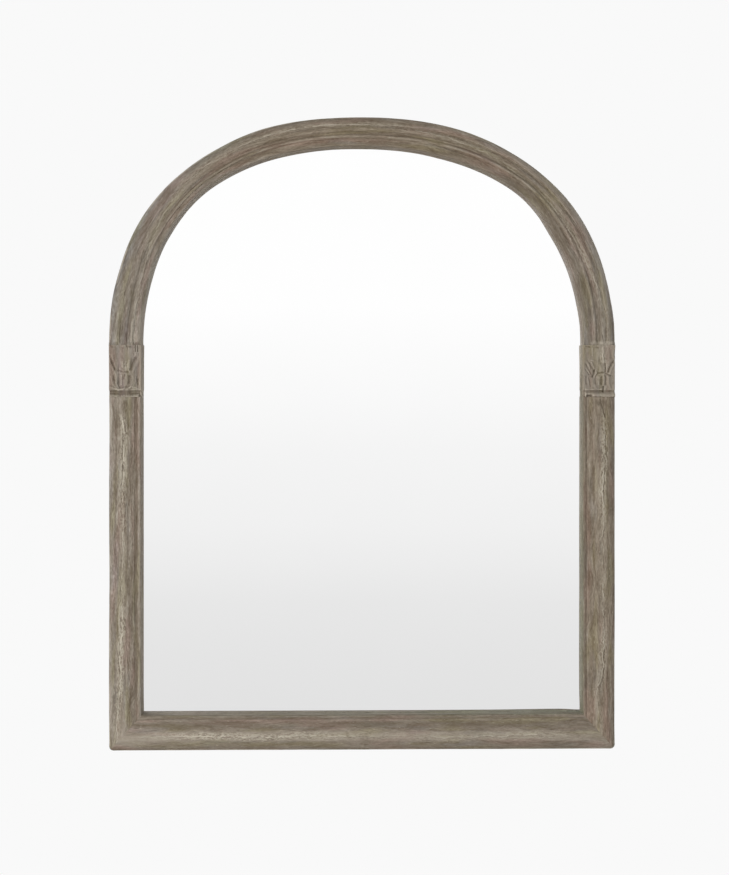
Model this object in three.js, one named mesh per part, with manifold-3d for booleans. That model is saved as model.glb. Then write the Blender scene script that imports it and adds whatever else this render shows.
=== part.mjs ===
// An arched wall mirror in a weathered wooden frame, modelled in millimetres with +Z up.
// The frame stands on z = 0, is centred on x = 0, and shows its front to -Y. Its depth is centred on y = 0.
// An arch in three glued segments stands on two stiles, a mitred rail closes the bottom, and a carved
// capital sits on a flat cut into the top of each stile. The glass and its backing board lie in rebates
// behind, and two hangers with swinging rings are screwed to the backs of the stiles.
import * as THREE from "three";
import { mergeVertices } from "three/addons/utils/BufferGeometryUtils.js";
import Module from "manifold-3d";

const wasm = await Module();
wasm.setup();

// The frame
const overallWidth = 800;
const overallHeight = 1000;
const springHeight = 640; // the arch stands on the stiles here
const stileWidth = 51; // outer edge to sight edge, on the stiles and the feet of the arch
const railWidth = 55.5; // the same, on the bottom rail
const crownWidth = 45; // the same, on the crown of the arch
const mouldingHeight = 33; // back plane to the crest of the moulding
const cornerRadius = 8; // the two bottom corners, seen from the front
const archFullness = 2.24; // exponent of the superellipse that the outer edge of the arch follows
const widthBlendShares = [0.17, 0.27]; // of the arch's length: the stile width turns into the crown width
const crownJointShare = 0.265; // of the arch's length: a haunch ends and the crown begins

// Clearances
const seatGap = 0.3; // between a piece and the one that it sits on or in, and each glue line
const overrun = 2; // how far a cutter passes the face that it cuts
const weldDistance = 1e-4; // points this close are one

// The glass and what holds it
const glassThickness = 4;
const glassLap = 8; // width of the glass rebate behind the sight edge
const boardThickness = 3;
const boardLap = 18; // width of the board rebate behind the sight edge
const boardInset = 0.5; // the board lies this far below the back plane
const boardEdgeGap = 1;
const padThickness = 1.5; // the pads that the glass stands on
const padLength = 40;
const padSpread = 340; // centre to centre

// The joinery
const dowelDiameter = 8;
const dowelLength = 60;
const dowelEndGap = 1;
const dowelChamfer = 1;
const biscuitLength = 47;
const biscuitWidth = 19;
const biscuitThickness = 4;

// The fasteners
const boardScrewDiameter = 3.5;
const boardScrewLength = 12;
const panHeadDiameter = 7;
const panHeadHeight = 2.2;
const hangerScrewDiameter = 3.5;
const hangerScrewLength = 14;
const flatHeadDiameter = 6.6;
const flatHeadHeight = 1.9;
const screwPointLength = 3;

// The hangers, each a strip of steel folded round a ring of wire
const stripThickness = 1.1;
const strapWidth = 14;
const strapLength = 50; // ring axis to the end of the strap
const ringWire = 3;
const ringEyeWidth = 22;
const ringLegLength = 5; // straight side of the ring, before its bow
const ringCornerRadius = 3.5;
const hangerDrop = 28; // ring axis below the spring of the arch
const hangerScrewDrops = [13, 38]; // below the ring axis

// The pads that keep the frame off the wall
const bumperDiameter = 16;
const bumperThickness = 6;
const bumperTopDiameter = 13;

// The carved capitals
const capitalHeight = 82;
const capitalProud = 1.5; // how far its leaf tips stand in front of the moulding
const seatHeight = 21; // back plane to the flat that the capital is glued to

// Places along the height of the wood, measured from the back plane towards the front
const boardSeat = boardInset + boardThickness + seatGap;
const glassBack = boardSeat;
const glassSeat = glassBack + glassThickness + seatGap;
const dowelLevel = (glassSeat + seatHeight) / 2;

const frameDepth = mouldingHeight + capitalProud;
const overallDepth = frameDepth + seatGap + bumperThickness;
const backPlaneY = frameDepth - overallDepth / 2;
const archFoot = springHeight + seatGap;

// Front of the stile and rail moulding: an outer roll, a shallow dip, a cushion, a groove and a bead at
// the sight edge. Each row ends at a share of the width and of the height, and a row of four bends there
// by way of the point in its first two shares.
const stileFaceShares = [
  [0, 0.68],
  [0, 0.87, 0.08, 0.905],
  [0.15, 0.96, 0.23, 0.95],
  [0.38, 1.06, 0.75, 0.88],
  [0.785, 0.868, 0.81, 0.83],
  [0.865, 0.83],
  [0.905, 0.885, 0.945, 0.875],
  [0.99, 0.86, 1, 0.79],
];

// Front of the arch moulding: an outer ovolo, a flat band, a bead between two quirks and an inner ovolo
const archFaceShares = [
  [0, 0.68],
  [0, 0.86, 0.07, 0.89],
  [0.18, 0.99, 0.275, 0.965],
  [0.305, 0.905],
  [0.335, 0.905],
  [0.36, 0.94],
  [0.42, 1.01, 0.49, 0.96],
  [0.53, 0.89],
  [0.6, 0.885],
  [0.675, 1.08, 0.725, 0.9],
  [0.75, 0.87],
  [0.775, 0.89],
  [0.98, 0.98, 1, 0.79],
];

// Curve fineness
const archDivisions = 2000;
const faceCurveSteps = 3;
const haunchSteps = 14;
const crownSteps = 20;
const paneArchSteps = 44;
const roundSides = 12;
const screwSides = 8;
const barSides = 10;
const bumperSides = 18;
const wireSides = 8;
const ringSteps = 30;

const colours = {
  wood: 0x8c8274,
  mirror: 0xe8ecec,
  board: 0x9c7b55,
  beech: 0xd2b48c,
  steel: 0xc2c5c8,
  rubber: 0x2b2b2c,
};
const finishes = {
  wood: { color: colours.wood, roughness: 0.8, metalness: 0 },
  mirror: { color: colours.mirror, roughness: 0.02, metalness: 1 },
  board: { color: colours.board, roughness: 0.85, metalness: 0 },
  beech: { color: colours.beech, roughness: 0.75, metalness: 0 },
  steel: { color: colours.steel, roughness: 0.35, metalness: 1 },
  rubber: { color: colours.rubber, roughness: 0.7, metalness: 0 },
};

// A point at x and z, at a height above the back plane
function at(x, z, height) {
  return new THREE.Vector3(x, backPlaneY - height, z);
}

// Solids: closed geometry into a manifold solid and back
function solidOf(geometry) {
  const bare = geometry.clone();
  bare.deleteAttribute("normal");
  bare.deleteAttribute("uv");
  const merged = mergeVertices(bare, weldDistance);
  return new wasm.Manifold(
    new wasm.Mesh({
      numProp: 3,
      vertProperties: merged.attributes.position.array,
      triVerts: new Uint32Array(merged.index.array),
    }),
  );
}

function geometryOf(solid) {
  const mesh = solid.getMesh();
  const geometry = new THREE.BufferGeometry();
  geometry.setAttribute("position", new THREE.BufferAttribute(mesh.vertProperties, 3));
  geometry.setIndex(new THREE.BufferAttribute(mesh.triVerts, 1));
  geometry.computeVertexNormals();
  return geometry;
}

// The same geometry on the other side of x = 0
function mirrored(geometry) {
  const copy = geometry.clone();
  copy.scale(-1, 1, 1);
  const index = copy.index.array;
  for (let i = 0; i < index.length; i += 3) {
    [index[i + 1], index[i + 2]] = [index[i + 2], index[i + 1]];
  }
  copy.computeVertexNormals();
  return copy;
}

function mirroredSolid(solid) {
  return solidOf(mirrored(geometryOf(solid)));
}

// Joins rings of equally many points, in order, into a closed body with a flat cap at each end. The
// outline is the first ring drawn flat, and shows how to fill the caps.
function loft(rings, outline) {
  const count = rings[0].length;
  const turn = Math.sign(THREE.ShapeUtils.area(outline));
  const caps = THREE.ShapeUtils.triangulateShape(outline, []).map(([a, b, c]) => {
    const sign = Math.sign(THREE.ShapeUtils.area([outline[a], outline[b], outline[c]]));
    return sign === turn ? [a, b, c] : [a, c, b];
  });
  const index = [];
  for (let r = 0; r + 1 < rings.length; r++) {
    for (let i = 0; i < count; i++) {
      const j = (i + 1) % count;
      const [a, b] = [r * count + i, r * count + j];
      index.push(a, b, b + count, a, b + count, a + count);
    }
  }
  const last = (rings.length - 1) * count;
  for (const [a, b, c] of caps) {
    index.push(a, c, b);
    index.push(last + a, last + b, last + c);
  }
  const points = rings.flat();
  const volume = (a, b, c) => points[a].dot(points[b].clone().cross(points[c]));
  let total = 0;
  for (let i = 0; i < index.length; i += 3) total += volume(...index.slice(i, i + 3));
  if (total < 0) index.reverse();
  const geometry = new THREE.BufferGeometry().setFromPoints(points);
  geometry.setIndex(index);
  return geometry;
}

// The outline of a moulding of the given width: its face, then the rebates for the glass and the board
function sectionOf(faceShares, width) {
  const path = new THREE.Path();
  path.moveTo(0, 0);
  for (const row of faceShares) {
    const place = row.map((share, i) => share * (i % 2 ? mouldingHeight : width));
    if (row.length === 2) path.lineTo(...place);
    else path.quadraticCurveTo(...place);
  }
  path.lineTo(width, glassSeat);
  path.lineTo(width - glassLap, glassSeat);
  path.lineTo(width - glassLap, boardSeat);
  path.lineTo(width - boardLap, boardSeat);
  path.lineTo(width - boardLap, 0);
  return path.getPoints(faceCurveSteps);
}

// The outer edge of the arch, from the left spring over the crown to the right one
class ArchEdge extends THREE.Curve {
  getPoint(t, target = new THREE.Vector3()) {
    const angle = Math.PI * (1 - t);
    const [c, s] = [Math.cos(angle), Math.max(0, Math.sin(angle))];
    const x = (Math.sign(c) * Math.abs(c) ** (2 / archFullness) * overallWidth) / 2;
    const z = archFoot + (overallHeight - archFoot) * s ** (2 / archFullness);
    return target.set(x, 0, z);
  }
}
const archEdge = new ArchEdge();
archEdge.arcLengthDivisions = archDivisions;

function archWidthAt(share) {
  const fromEnd = Math.min(share, 1 - share);
  const blend = THREE.MathUtils.smoothstep(fromEnd, ...widthBlendShares);
  return THREE.MathUtils.lerp(stileWidth, crownWidth, blend);
}

// A station on the arch: its outer point, the direction along it and the direction towards the glass
function archStation(share) {
  const point = archEdge.getPointAt(share);
  const along = archEdge.getTangentAt(share);
  if (share === 0) along.set(0, 0, 1);
  if (share === 1) along.set(0, 0, -1);
  const inward = new THREE.Vector3(along.z, 0, -along.x);
  return { point, along, inward, width: archWidthAt(share) };
}

function onArch(station, u, height) {
  return at(station.point.x + station.inward.x * u, station.point.z + station.inward.z * u, height);
}

// A stretch of the arch between two shares of its length
function archSegment(from, to, steps) {
  const rings = [];
  for (let i = 0; i <= steps; i++) {
    const station = archStation(THREE.MathUtils.lerp(from, to, i / steps));
    const section = sectionOf(archFaceShares, station.width);
    rings.push(section.map((p) => onArch(station, p.x, p.y)));
  }
  return loft(rings, sectionOf(archFaceShares, stileWidth));
}

// A round bar between two ends, as a solid: a dowel or the cutter of its hole
function barGeometry(centre, direction, radius, length, chamfer = 0) {
  const half = length / 2;
  const profile = [
    new THREE.Vector2(0, -half),
    new THREE.Vector2(radius - chamfer, -half),
    new THREE.Vector2(radius, chamfer - half),
    new THREE.Vector2(radius, half - chamfer),
    new THREE.Vector2(radius - chamfer, half),
    new THREE.Vector2(0, half),
  ];
  const kept = profile.filter((p, i) => i === 0 || p.distanceTo(profile[i - 1]) > 0);
  const geometry = new THREE.LatheGeometry(kept, barSides);
  const turn = new THREE.Quaternion().setFromUnitVectors(new THREE.Vector3(0, 1, 0), direction);
  geometry.applyQuaternion(turn);
  geometry.translate(centre.x, centre.y, centre.z);
  return geometry;
}

// Dowels: two across each joint of the arch, at these shares of its width from the outer edge
const dowelPlaceShares = [0.26, 0.62];

function dowelsAt(station) {
  return dowelPlaceShares.map((share) => {
    const centre = onArch(station, share * station.width, dowelLevel);
    return {
      pin: barGeometry(centre, station.along, dowelDiameter / 2, dowelLength, dowelChamfer),
      hole: solidOf(
        barGeometry(centre, station.along, dowelDiameter / 2 + seatGap, dowelLength + 2 * dowelEndGap),
      ),
    };
  });
}

const springDowels = dowelsAt(archStation(0));
const crownDowels = dowelsAt(archStation(crownJointShare));

function without(solid, cutters) {
  return cutters.reduce((left, cutter) => left.subtract(cutter), solid);
}

// A flat plate of a shape drawn in x and z, between two heights above the back plane
function plate(shape, low, high, curveSteps = roundSides) {
  const geometry = new THREE.ExtrudeGeometry(shape, {
    depth: high - low,
    bevelEnabled: false,
    curveSegments: curveSteps,
  });
  geometry.rotateX(Math.PI / 2);
  geometry.translate(0, backPlaneY - low, 0);
  return geometry;
}

function rectangle(left, bottom, right, top) {
  return new THREE.Shape([
    new THREE.Vector2(left, bottom),
    new THREE.Vector2(right, bottom),
    new THREE.Vector2(right, top),
    new THREE.Vector2(left, top),
  ]);
}

// The outline of a pane that follows the sight edge, reaching past it by the given lap
function paneShape(lap) {
  const side = overallWidth / 2 - stileWidth + lap;
  const shape = new THREE.Shape();
  shape.moveTo(side, railWidth - lap);
  for (let i = paneArchSteps; i >= 0; i--) {
    const station = archStation(i / paneArchSteps);
    const reach = station.width - lap;
    const corner = onArch(station, reach, 0);
    shape.lineTo(corner.x, corner.z);
  }
  shape.lineTo(-side, railWidth - lap);
  return shape;
}

// Biscuits: a flat lens of beech across each mitre, its length along the mitre line
const biscuitPlaceShare = 0.46; // of the way along the mitre
function biscuitShape(grow) {
  const [halfLength, halfWidth] = [biscuitLength / 2 + grow, biscuitWidth / 2 + grow];
  const bend = (halfLength ** 2 - halfWidth ** 2) / (2 * halfWidth);
  const radius = halfWidth + bend;
  const sweep = Math.asin(halfLength / radius);
  const shape = new THREE.Shape();
  shape.absarc(0, -bend, radius, Math.PI / 2 - sweep, Math.PI / 2 + sweep, false);
  shape.absarc(0, bend, radius, -Math.PI / 2 - sweep, -Math.PI / 2 + sweep, false);
  return shape;
}

function biscuit(grow) {
  const low = dowelLevel - biscuitThickness / 2 - grow;
  const high = dowelLevel + biscuitThickness / 2 + grow;
  const geometry = plate(biscuitShape(grow), low, high, roundSides / 2);
  geometry.rotateY(-Math.PI / 4);
  geometry.translate(
    biscuitPlaceShare * stileWidth - overallWidth / 2,
    0,
    biscuitPlaceShare * railWidth,
  );
  return geometry;
}

// Rounds the bottom left corner of the frame
function cornerCutter() {
  const [x, r] = [-overallWidth / 2, cornerRadius];
  const shape = new THREE.Shape();
  shape.moveTo(x - overrun, -overrun);
  shape.lineTo(x + r, -overrun);
  shape.lineTo(x + r, 0);
  shape.absarc(x + r, r, r, -Math.PI / 2, -Math.PI, true);
  shape.lineTo(x - overrun, r);
  return solidOf(plate(shape, -overrun, mouldingHeight + overrun, roundSides / 2));
}

// Board screws, in the margin of the board that bears on its rebate
const boardScrewLine = (glassLap + boardLap) / 2; // from the sight edge
const stileScrewShares = [0.17, 0.47, 0.77]; // of the height of the spring
const railScrewShares = [-0.3, 0, 0.3]; // of the overall width, from the middle
const archScrewShares = [0.06, 0.2, 0.4, 0.6, 0.8, 0.94]; // of the arch's length

function boardScrewPlaces() {
  const side = overallWidth / 2 - stileWidth + boardScrewLine;
  const places = [];
  for (const share of railScrewShares) {
    places.push([share * overallWidth, railWidth - boardScrewLine]);
  }
  for (const share of stileScrewShares) {
    places.push([-side, share * springHeight], [side, share * springHeight]);
  }
  for (const share of archScrewShares) {
    const station = archStation(share);
    const reach = station.width - boardScrewLine;
    const place = onArch(station, reach, 0);
    places.push([place.x, place.z]);
  }
  return places;
}

// A screw standing at x and z with its bearing face at a height above the back plane; its head points
// to the wall. A pan head stands behind that face and a flat one is sunk into it.
function screw(x, z, height, sizes) {
  const { diameter, length, headDiameter, headHeight, flat } = sizes;
  const headRows = flat
    ? [
        [0, 0],
        [headDiameter / 2, 0],
        [diameter / 2, -headHeight],
      ]
    : [
        [0, headHeight],
        [headDiameter / 4, headHeight],
        [headDiameter / 2, headHeight / 2],
        [headDiameter / 2, 0],
        [diameter / 2, 0],
      ];
  const rows = [...headRows, [diameter / 2, screwPointLength - length], [0, -length]];
  const profile = rows.map(([r, y]) => new THREE.Vector2(r, y)).reverse();
  const geometry = new THREE.LatheGeometry(profile, screwSides);
  geometry.translate(x, backPlaneY - height, z);
  return geometry;
}

function screwHole(x, z, height, sizes) {
  const radius = sizes.diameter / 2 + seatGap;
  const low = -overrun - height;
  const geometry = new THREE.CylinderGeometry(radius, radius, sizes.length + seatGap - low, screwSides);
  geometry.translate(x, backPlaneY - height - (sizes.length + seatGap + low) / 2, z);
  return solidOf(geometry);
}

const boardScrewSizes = {
  diameter: boardScrewDiameter,
  length: boardScrewLength,
  headDiameter: panHeadDiameter,
  headHeight: panHeadHeight,
  flat: false,
};
const hangerScrewSizes = {
  diameter: hangerScrewDiameter,
  length: hangerScrewLength,
  headDiameter: flatHeadDiameter,
  headHeight: flatHeadHeight,
  flat: true,
};
const boardScrewSeat = boardInset - seatGap; // a pan head bears here, just clear of the board
const screwHoles = boardScrewPlaces().map(([x, z]) => screwHole(x, z, boardScrewSeat, boardScrewSizes));

// Hangers: sizes worked out from the wire and the strip
const barrelBore = ringWire / 2 + seatGap;
const barrelRadius = barrelBore + stripThickness;
const strapTop = 2 * stripThickness; // the strip lies double
const ringAxisLift = seatGap + barrelRadius; // behind the back plane
const hangerX = -overallWidth / 2 + (stileWidth - boardLap) / 2;
const ringAxisZ = springHeight - hangerDrop;
const ringHalfWidth = (ringEyeWidth + ringWire) / 2; // on the wire's own line
const ringReach = ringLegLength + ringHalfWidth; // axis to the middle of the bow
const ringTilt = Math.asin((strapTop + seatGap + ringWire / 2 - barrelRadius) / ringReach);

const hangerScrewFace = -(seatGap + strapTop);
const hangerScrewPlaces = hangerScrewDrops.map((drop) => [hangerX, ringAxisZ - drop]);
const hangerHoles = hangerScrewPlaces.map(([x, z]) => screwHole(x, z, hangerScrewFace, hangerScrewSizes));

// The strap, drawn from the side with the ring's axis at the origin: its length runs down to the left
// and the wood lies below. Then it is cut to a round tail and countersunk for its screws.
function hangerStrap() {
  const side = new THREE.Shape();
  const meet = Math.asin((barrelRadius - strapTop) / barrelRadius);
  side.moveTo(-strapLength, -barrelRadius);
  side.lineTo(0, -barrelRadius);
  side.absarc(0, 0, barrelRadius, -Math.PI / 2, Math.PI + meet, false);
  side.lineTo(-strapLength, strapTop - barrelRadius);
  side.holes.push(new THREE.Path().absarc(0, 0, barrelBore, 0, 2 * Math.PI, true));
  const strip = new THREE.ExtrudeGeometry(side, {
    depth: strapWidth,
    bevelEnabled: false,
    curveSegments: roundSides,
  });
  strip.translate(0, 0, -strapWidth / 2);
  const [up, out, left] = [
    new THREE.Vector3(0, 0, 1),
    new THREE.Vector3(0, 1, 0),
    new THREE.Vector3(-1, 0, 0),
  ];
  const place = new THREE.Matrix4().makeBasis(up, out, left);
  place.setPosition(hangerX, backPlaneY + ringAxisLift, ringAxisZ);
  strip.applyMatrix4(place);

  const half = strapWidth / 2;
  const tailZ = ringAxisZ - strapLength + half;
  const outline = new THREE.Shape();
  outline.moveTo(hangerX + half + overrun, ringAxisZ + barrelRadius + overrun);
  outline.lineTo(hangerX - half - overrun, ringAxisZ + barrelRadius + overrun);
  outline.lineTo(hangerX - half - overrun, tailZ);
  outline.absarc(hangerX, tailZ, half, Math.PI, 2 * Math.PI, false);
  outline.lineTo(hangerX + half + overrun, tailZ);
  const block = solidOf(plate(outline, -ringAxisLift - barrelRadius - overrun, overrun));

  const sinks = hangerScrewPlaces.map(([x, z]) =>
    solidOf(
      screw(x, z, hangerScrewFace, {
        ...hangerScrewSizes,
        diameter: hangerScrewDiameter + 2 * seatGap,
        headDiameter: flatHeadDiameter + 2 * seatGap,
        headHeight: flatHeadHeight + seatGap,
      }),
    ),
  );
  return geometryOf(without(solidOf(strip).intersect(block), sinks));
}

// The ring: a closed loop of wire, its straight side in the strap's barrel and its bow hanging down
// over the strap
function hangerRing() {
  const [w, r] = [ringHalfWidth, ringCornerRadius];
  const loop = new THREE.Path();
  loop.moveTo(w - r, 0);
  loop.absarc(w - r, -r, r, Math.PI / 2, 0, true);
  loop.lineTo(w, -ringLegLength);
  loop.absarc(0, -ringLegLength, w, 0, -Math.PI, true);
  loop.lineTo(-w, -r);
  loop.absarc(r - w, -r, r, Math.PI, Math.PI / 2, true);
  loop.closePath();
  const points = loop.getSpacedPoints(ringSteps).slice(0, -1);
  const line = new THREE.CatmullRomCurve3(
    points.map((p) => new THREE.Vector3(p.x, 0, p.y)),
    true,
  );
  const geometry = new THREE.TubeGeometry(line, ringSteps, ringWire / 2, wireSides, true);
  geometry.rotateX(ringTilt);
  geometry.translate(hangerX, backPlaneY + ringAxisLift, ringAxisZ);
  return geometry;
}

// Stile: the left one, mitred at its foot, with the flat seat of the capital at its head. Seen from the
// front, the mitre runs from the outer corner to the corner of the two sight edges.
const mitreGap = seatGap * Math.SQRT1_2;

function stile() {
  const section = sectionOf(stileFaceShares, stileWidth);
  const rise = railWidth / stileWidth;
  const foot = section.map((p) => at(p.x - overallWidth / 2, p.x * rise + mitreGap, p.y));
  const head = section.map((p) => at(p.x - overallWidth / 2, springHeight, p.y));
  const seat = rectangle(
    -overallWidth / 2 - overrun,
    springHeight - capitalHeight - seatGap,
    -overallWidth / 2 + stileWidth + overrun,
    springHeight + overrun,
  );
  return without(solidOf(loft([foot, head], section)), [
    solidOf(plate(seat, seatHeight, mouldingHeight + overrun)),
    cornerCutter(),
    solidOf(biscuit(seatGap)),
    ...springDowels.map((dowel) => dowel.hole),
    ...screwHoles,
    ...hangerHoles,
  ]);
}

function bottomRail() {
  const section = sectionOf(stileFaceShares, railWidth);
  const end = overallWidth / 2 - mitreGap;
  const run = stileWidth / railWidth;
  const left = section.map((p) => at(p.x * run - end, p.x, p.y));
  const right = section.map((p) => at(end - p.x * run, p.x, p.y));
  const cutters = [cornerCutter(), solidOf(biscuit(seatGap))];
  return without(solidOf(loft([right, left], section)), [
    ...cutters,
    ...cutters.map(mirroredSolid),
    ...screwHoles,
  ]);
}

function archHaunch() {
  const gapShare = seatGap / archEdge.getLength();
  const body = solidOf(archSegment(0, crownJointShare - gapShare, haunchSteps));
  const holes = [...springDowels, ...crownDowels].map((dowel) => dowel.hole);
  return without(body, [...holes, ...screwHoles]);
}

function archCrown() {
  const body = solidOf(archSegment(crownJointShare, 1 - crownJointShare, crownSteps));
  const holes = crownDowels.map((dowel) => dowel.hole);
  return without(body, [...holes, ...holes.map(mirroredSolid), ...screwHoles]);
}

// The capital's body, rising from a sunk neck and a flared bell to a narrow ledge under the arch. Each
// row is a share of the capital's height, then the height of its front over the seat at the middle and
// at the two sides, as shares of the height from the seat to the crest of the moulding.
const capitalBodyShares = [
  [0, 0.26, 0.24],
  [0.1, 0.26, 0.24],
  [0.125, 0.44, 0.34],
  [0.3, 0.4, 0.3],
  [0.55, 0.46, 0.34],
  [0.75, 0.6, 0.44],
  [0.9, 0.82, 0.66],
  [0.95, 0.86, 0.72],
  [0.965, 0.96, 0.86],
  [1, 0.98, 0.88],
];
const capitalAcrossShares = [0, 0.04, 0.2, 0.5, 0.8, 0.96, 1];
const capitalEdgeShare = 0.7; // how much of that height is left at the very edge

// Leaves on the capital's front. Base and tip are shares of its width and height, half is the leaf's
// half width as a share of the width, and rise gives its height at base, belly and tip as shares of the
// height from the seat to the leaf tips. An upper leaf has lobes along its sides and a petal hasn't.
const leafShares = [
  { base: [0.42, 0.12], tip: [0.27, 0.51], half: 0.1, rise: [0.34, 0.62, 0.72] },
  { base: [0.58, 0.12], tip: [0.73, 0.51], half: 0.1, rise: [0.34, 0.62, 0.72] },
  { base: [0.36, 0.14], tip: [0.05, 0.48], half: 0.12, rise: [0.34, 0.56, 0.68] },
  { base: [0.64, 0.14], tip: [0.95, 0.48], half: 0.12, rise: [0.34, 0.56, 0.68] },
  { base: [0.5, 0.12], tip: [0.5, 0.5], half: 0.11, rise: [0.34, 0.7, 0.78] },
  { base: [0.28, 0.38], tip: [0.04, 0.76], half: 0.13, rise: [0.4, 0.7, 0.96], lobed: true },
  { base: [0.72, 0.38], tip: [0.96, 0.76], half: 0.13, rise: [0.4, 0.7, 0.96], lobed: true },
  { base: [0.5, 0.36], tip: [0.5, 0.7], half: 0.15, rise: [0.4, 0.72, 1], lobed: true },
];
const leafSpineShares = [0, 0.16, 0.32, 0.48, 0.62, 0.75, 0.87, 1];
const lobedOutlineShares = [0.6, 0.95, 0.74, 1, 0.8, 0.96, 0.7, 0.25];
const petalOutlineShares = [0.35, 0.55, 0.75, 0.9, 1, 0.98, 0.74, 0.28];
const leafAcrossShares = [-1, -0.6, -0.2, 0, 0.2, 0.6, 1];
const leafDropShares = [0.24, 0.04, 0.12, 0, 0.12, 0.04, 0.24];
const cupShares = { centre: [0.5, 0.16], half: [0.2, 0.08], rise: 0.66 };

function onCapital(acrossShare, upShare, rise) {
  return at(
    acrossShare * stileWidth - overallWidth / 2,
    springHeight - capitalHeight + upShare * capitalHeight,
    seatHeight + seatGap + rise,
  );
}

function capitalBody() {
  const reach = mouldingHeight - seatHeight - seatGap;
  const rings = capitalBodyShares.map(([up, middle, side]) => {
    const front = capitalAcrossShares.map((across) => {
      const bulge = Math.sqrt(Math.sin(Math.PI * across));
      const edge = across === 0 || across === 1 ? capitalEdgeShare : 1;
      const rise = reach * edge * THREE.MathUtils.lerp(side, middle, bulge);
      return onCapital(across, up, rise);
    });
    return [onCapital(0, up, 0), ...front, onCapital(1, up, 0)];
  });
  const outline = rings[0].map((p) => new THREE.Vector2(p.x, -p.y));
  return solidOf(loft(rings, outline));
}

// How high a leaf stands along its spine: base to belly, then out to a tip that rolls over
function leafRise([base, belly, tip], s) {
  const swell = THREE.MathUtils.lerp(base, belly, Math.sin((Math.PI / 2) * Math.min(1, 2 * s)));
  const curl = THREE.MathUtils.smoothstep(s, 0.5, 0.85);
  const roll = THREE.MathUtils.smoothstep(s, 0.88, 1) / 3;
  return THREE.MathUtils.lerp(swell, tip, curl) * (1 - roll);
}

const leafReach = mouldingHeight + capitalProud - seatHeight - seatGap;

function leaf({ base, tip, half, rise, lobed }) {
  const spine = new THREE.Vector2((tip[0] - base[0]) * stileWidth, (tip[1] - base[1]) * capitalHeight);
  const side = new THREE.Vector2(spine.y, -spine.x).normalize();
  const outlineShares = lobed ? lobedOutlineShares : petalOutlineShares;
  const rings = leafSpineShares.map((s, i) => {
    const [u, v] = [THREE.MathUtils.lerp(base[0], tip[0], s), THREE.MathUtils.lerp(base[1], tip[1], s)];
    const reach = half * outlineShares[i];
    const top = leafAcrossShares.map((t, k) => {
      const across = u + t * reach * side.x;
      const up = v + (t * reach * side.y * stileWidth) / capitalHeight;
      return onCapital(across, up, leafReach * (leafRise(rise, s) - leafDropShares[k]));
    });
    const foot = (p) => at(p.x, p.z, seatHeight + seatGap);
    return [foot(top[0]), ...top, foot(top.at(-1))];
  });
  return solidOf(loft(rings, leafEndOutline()));
}

// The end of a leaf drawn flat: its two feet and the points across it
function leafEndOutline() {
  const top = leafAcrossShares.map((t, k) => new THREE.Vector2(t, 1 - leafDropShares[k]));
  return [new THREE.Vector2(top[0].x, 0), ...top, new THREE.Vector2(top.at(-1).x, 0)];
}

// The cup that the petals rise from
function cup() {
  const geometry = new THREE.SphereGeometry(1, roundSides, roundSides / 2);
  const [half, high] = [cupShares.half[0] * stileWidth, cupShares.half[1] * capitalHeight];
  geometry.scale(half, leafReach * cupShares.rise, high);
  const centre = onCapital(...cupShares.centre, 0);
  geometry.translate(centre.x, centre.y, centre.z);
  return solidOf(geometry);
}

function capital() {
  const block = solidOf(
    plate(
      rectangle(
        -overallWidth / 2,
        springHeight - capitalHeight,
        stileWidth - overallWidth / 2,
        springHeight,
      ),
      seatHeight + seatGap,
      mouldingHeight + capitalProud + overrun,
    ),
  );
  const carving = [cup(), ...leafShares.map(leaf)];
  return carving.reduce((body, piece) => body.add(piece.intersect(block)), capitalBody());
}

function bumper() {
  const profile = [
    new THREE.Vector2(0, 0),
    new THREE.Vector2(bumperDiameter / 2, 0),
    new THREE.Vector2(bumperDiameter / 2, bumperThickness / 3),
    new THREE.Vector2(bumperTopDiameter / 2, bumperThickness),
    new THREE.Vector2(0, bumperThickness),
  ];
  const geometry = new THREE.LatheGeometry(profile, bumperSides);
  geometry.translate(
    (stileWidth - boardLap) / 2 - overallWidth / 2,
    backPlaneY + seatGap,
    (railWidth - boardLap) / 2,
  );
  return geometry;
}

// Assembly
const mirror = new THREE.Group();

function add(name, shape, finish) {
  const geometry = shape.getMesh ? geometryOf(shape) : shape;
  const mesh = new THREE.Mesh(geometry, new THREE.MeshStandardMaterial(finishes[finish]));
  mesh.name = name;
  mirror.add(mesh);
}

function addPair(name, shape, finish) {
  const geometry = shape.getMesh ? geometryOf(shape) : mergeVertices(shape);
  add(`${name}_left`, geometry, finish);
  add(`${name}_right`, mirrored(geometry), finish);
}

add("arch_crown", archCrown(), "wood");
addPair("arch_haunch", archHaunch(), "wood");
addPair("stile", stile(), "wood");
add("bottom_rail", bottomRail(), "wood");
addPair("capital", capital(), "wood");

const glassEdge = glassLap - padThickness - 2 * seatGap;
add("mirror_glass", plate(paneShape(glassEdge), glassBack, glassBack + glassThickness), "mirror");
const board = plate(paneShape(boardLap - boardEdgeGap), boardInset, boardInset + boardThickness);
add("backing_board", without(solidOf(board), screwHoles), "board");

const padBottom = railWidth - glassLap + seatGap;
const pad = rectangle(
  -padSpread / 2 - padLength / 2,
  padBottom,
  -padSpread / 2 + padLength / 2,
  padBottom + padThickness,
);
addPair("glass_pad", plate(pad, glassBack, glassBack + glassThickness), "rubber");

springDowels.forEach((dowel, i) => addPair(`spring_dowel_${i + 1}`, dowel.pin, "beech"));
crownDowels.forEach((dowel, i) => addPair(`crown_dowel_${i + 1}`, dowel.pin, "beech"));
addPair("mitre_biscuit", biscuit(0), "beech");

boardScrewPlaces().forEach(([x, z], i) => {
  add(`board_screw_${i + 1}`, screw(x, z, boardScrewSeat, boardScrewSizes), "steel");
});

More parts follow.
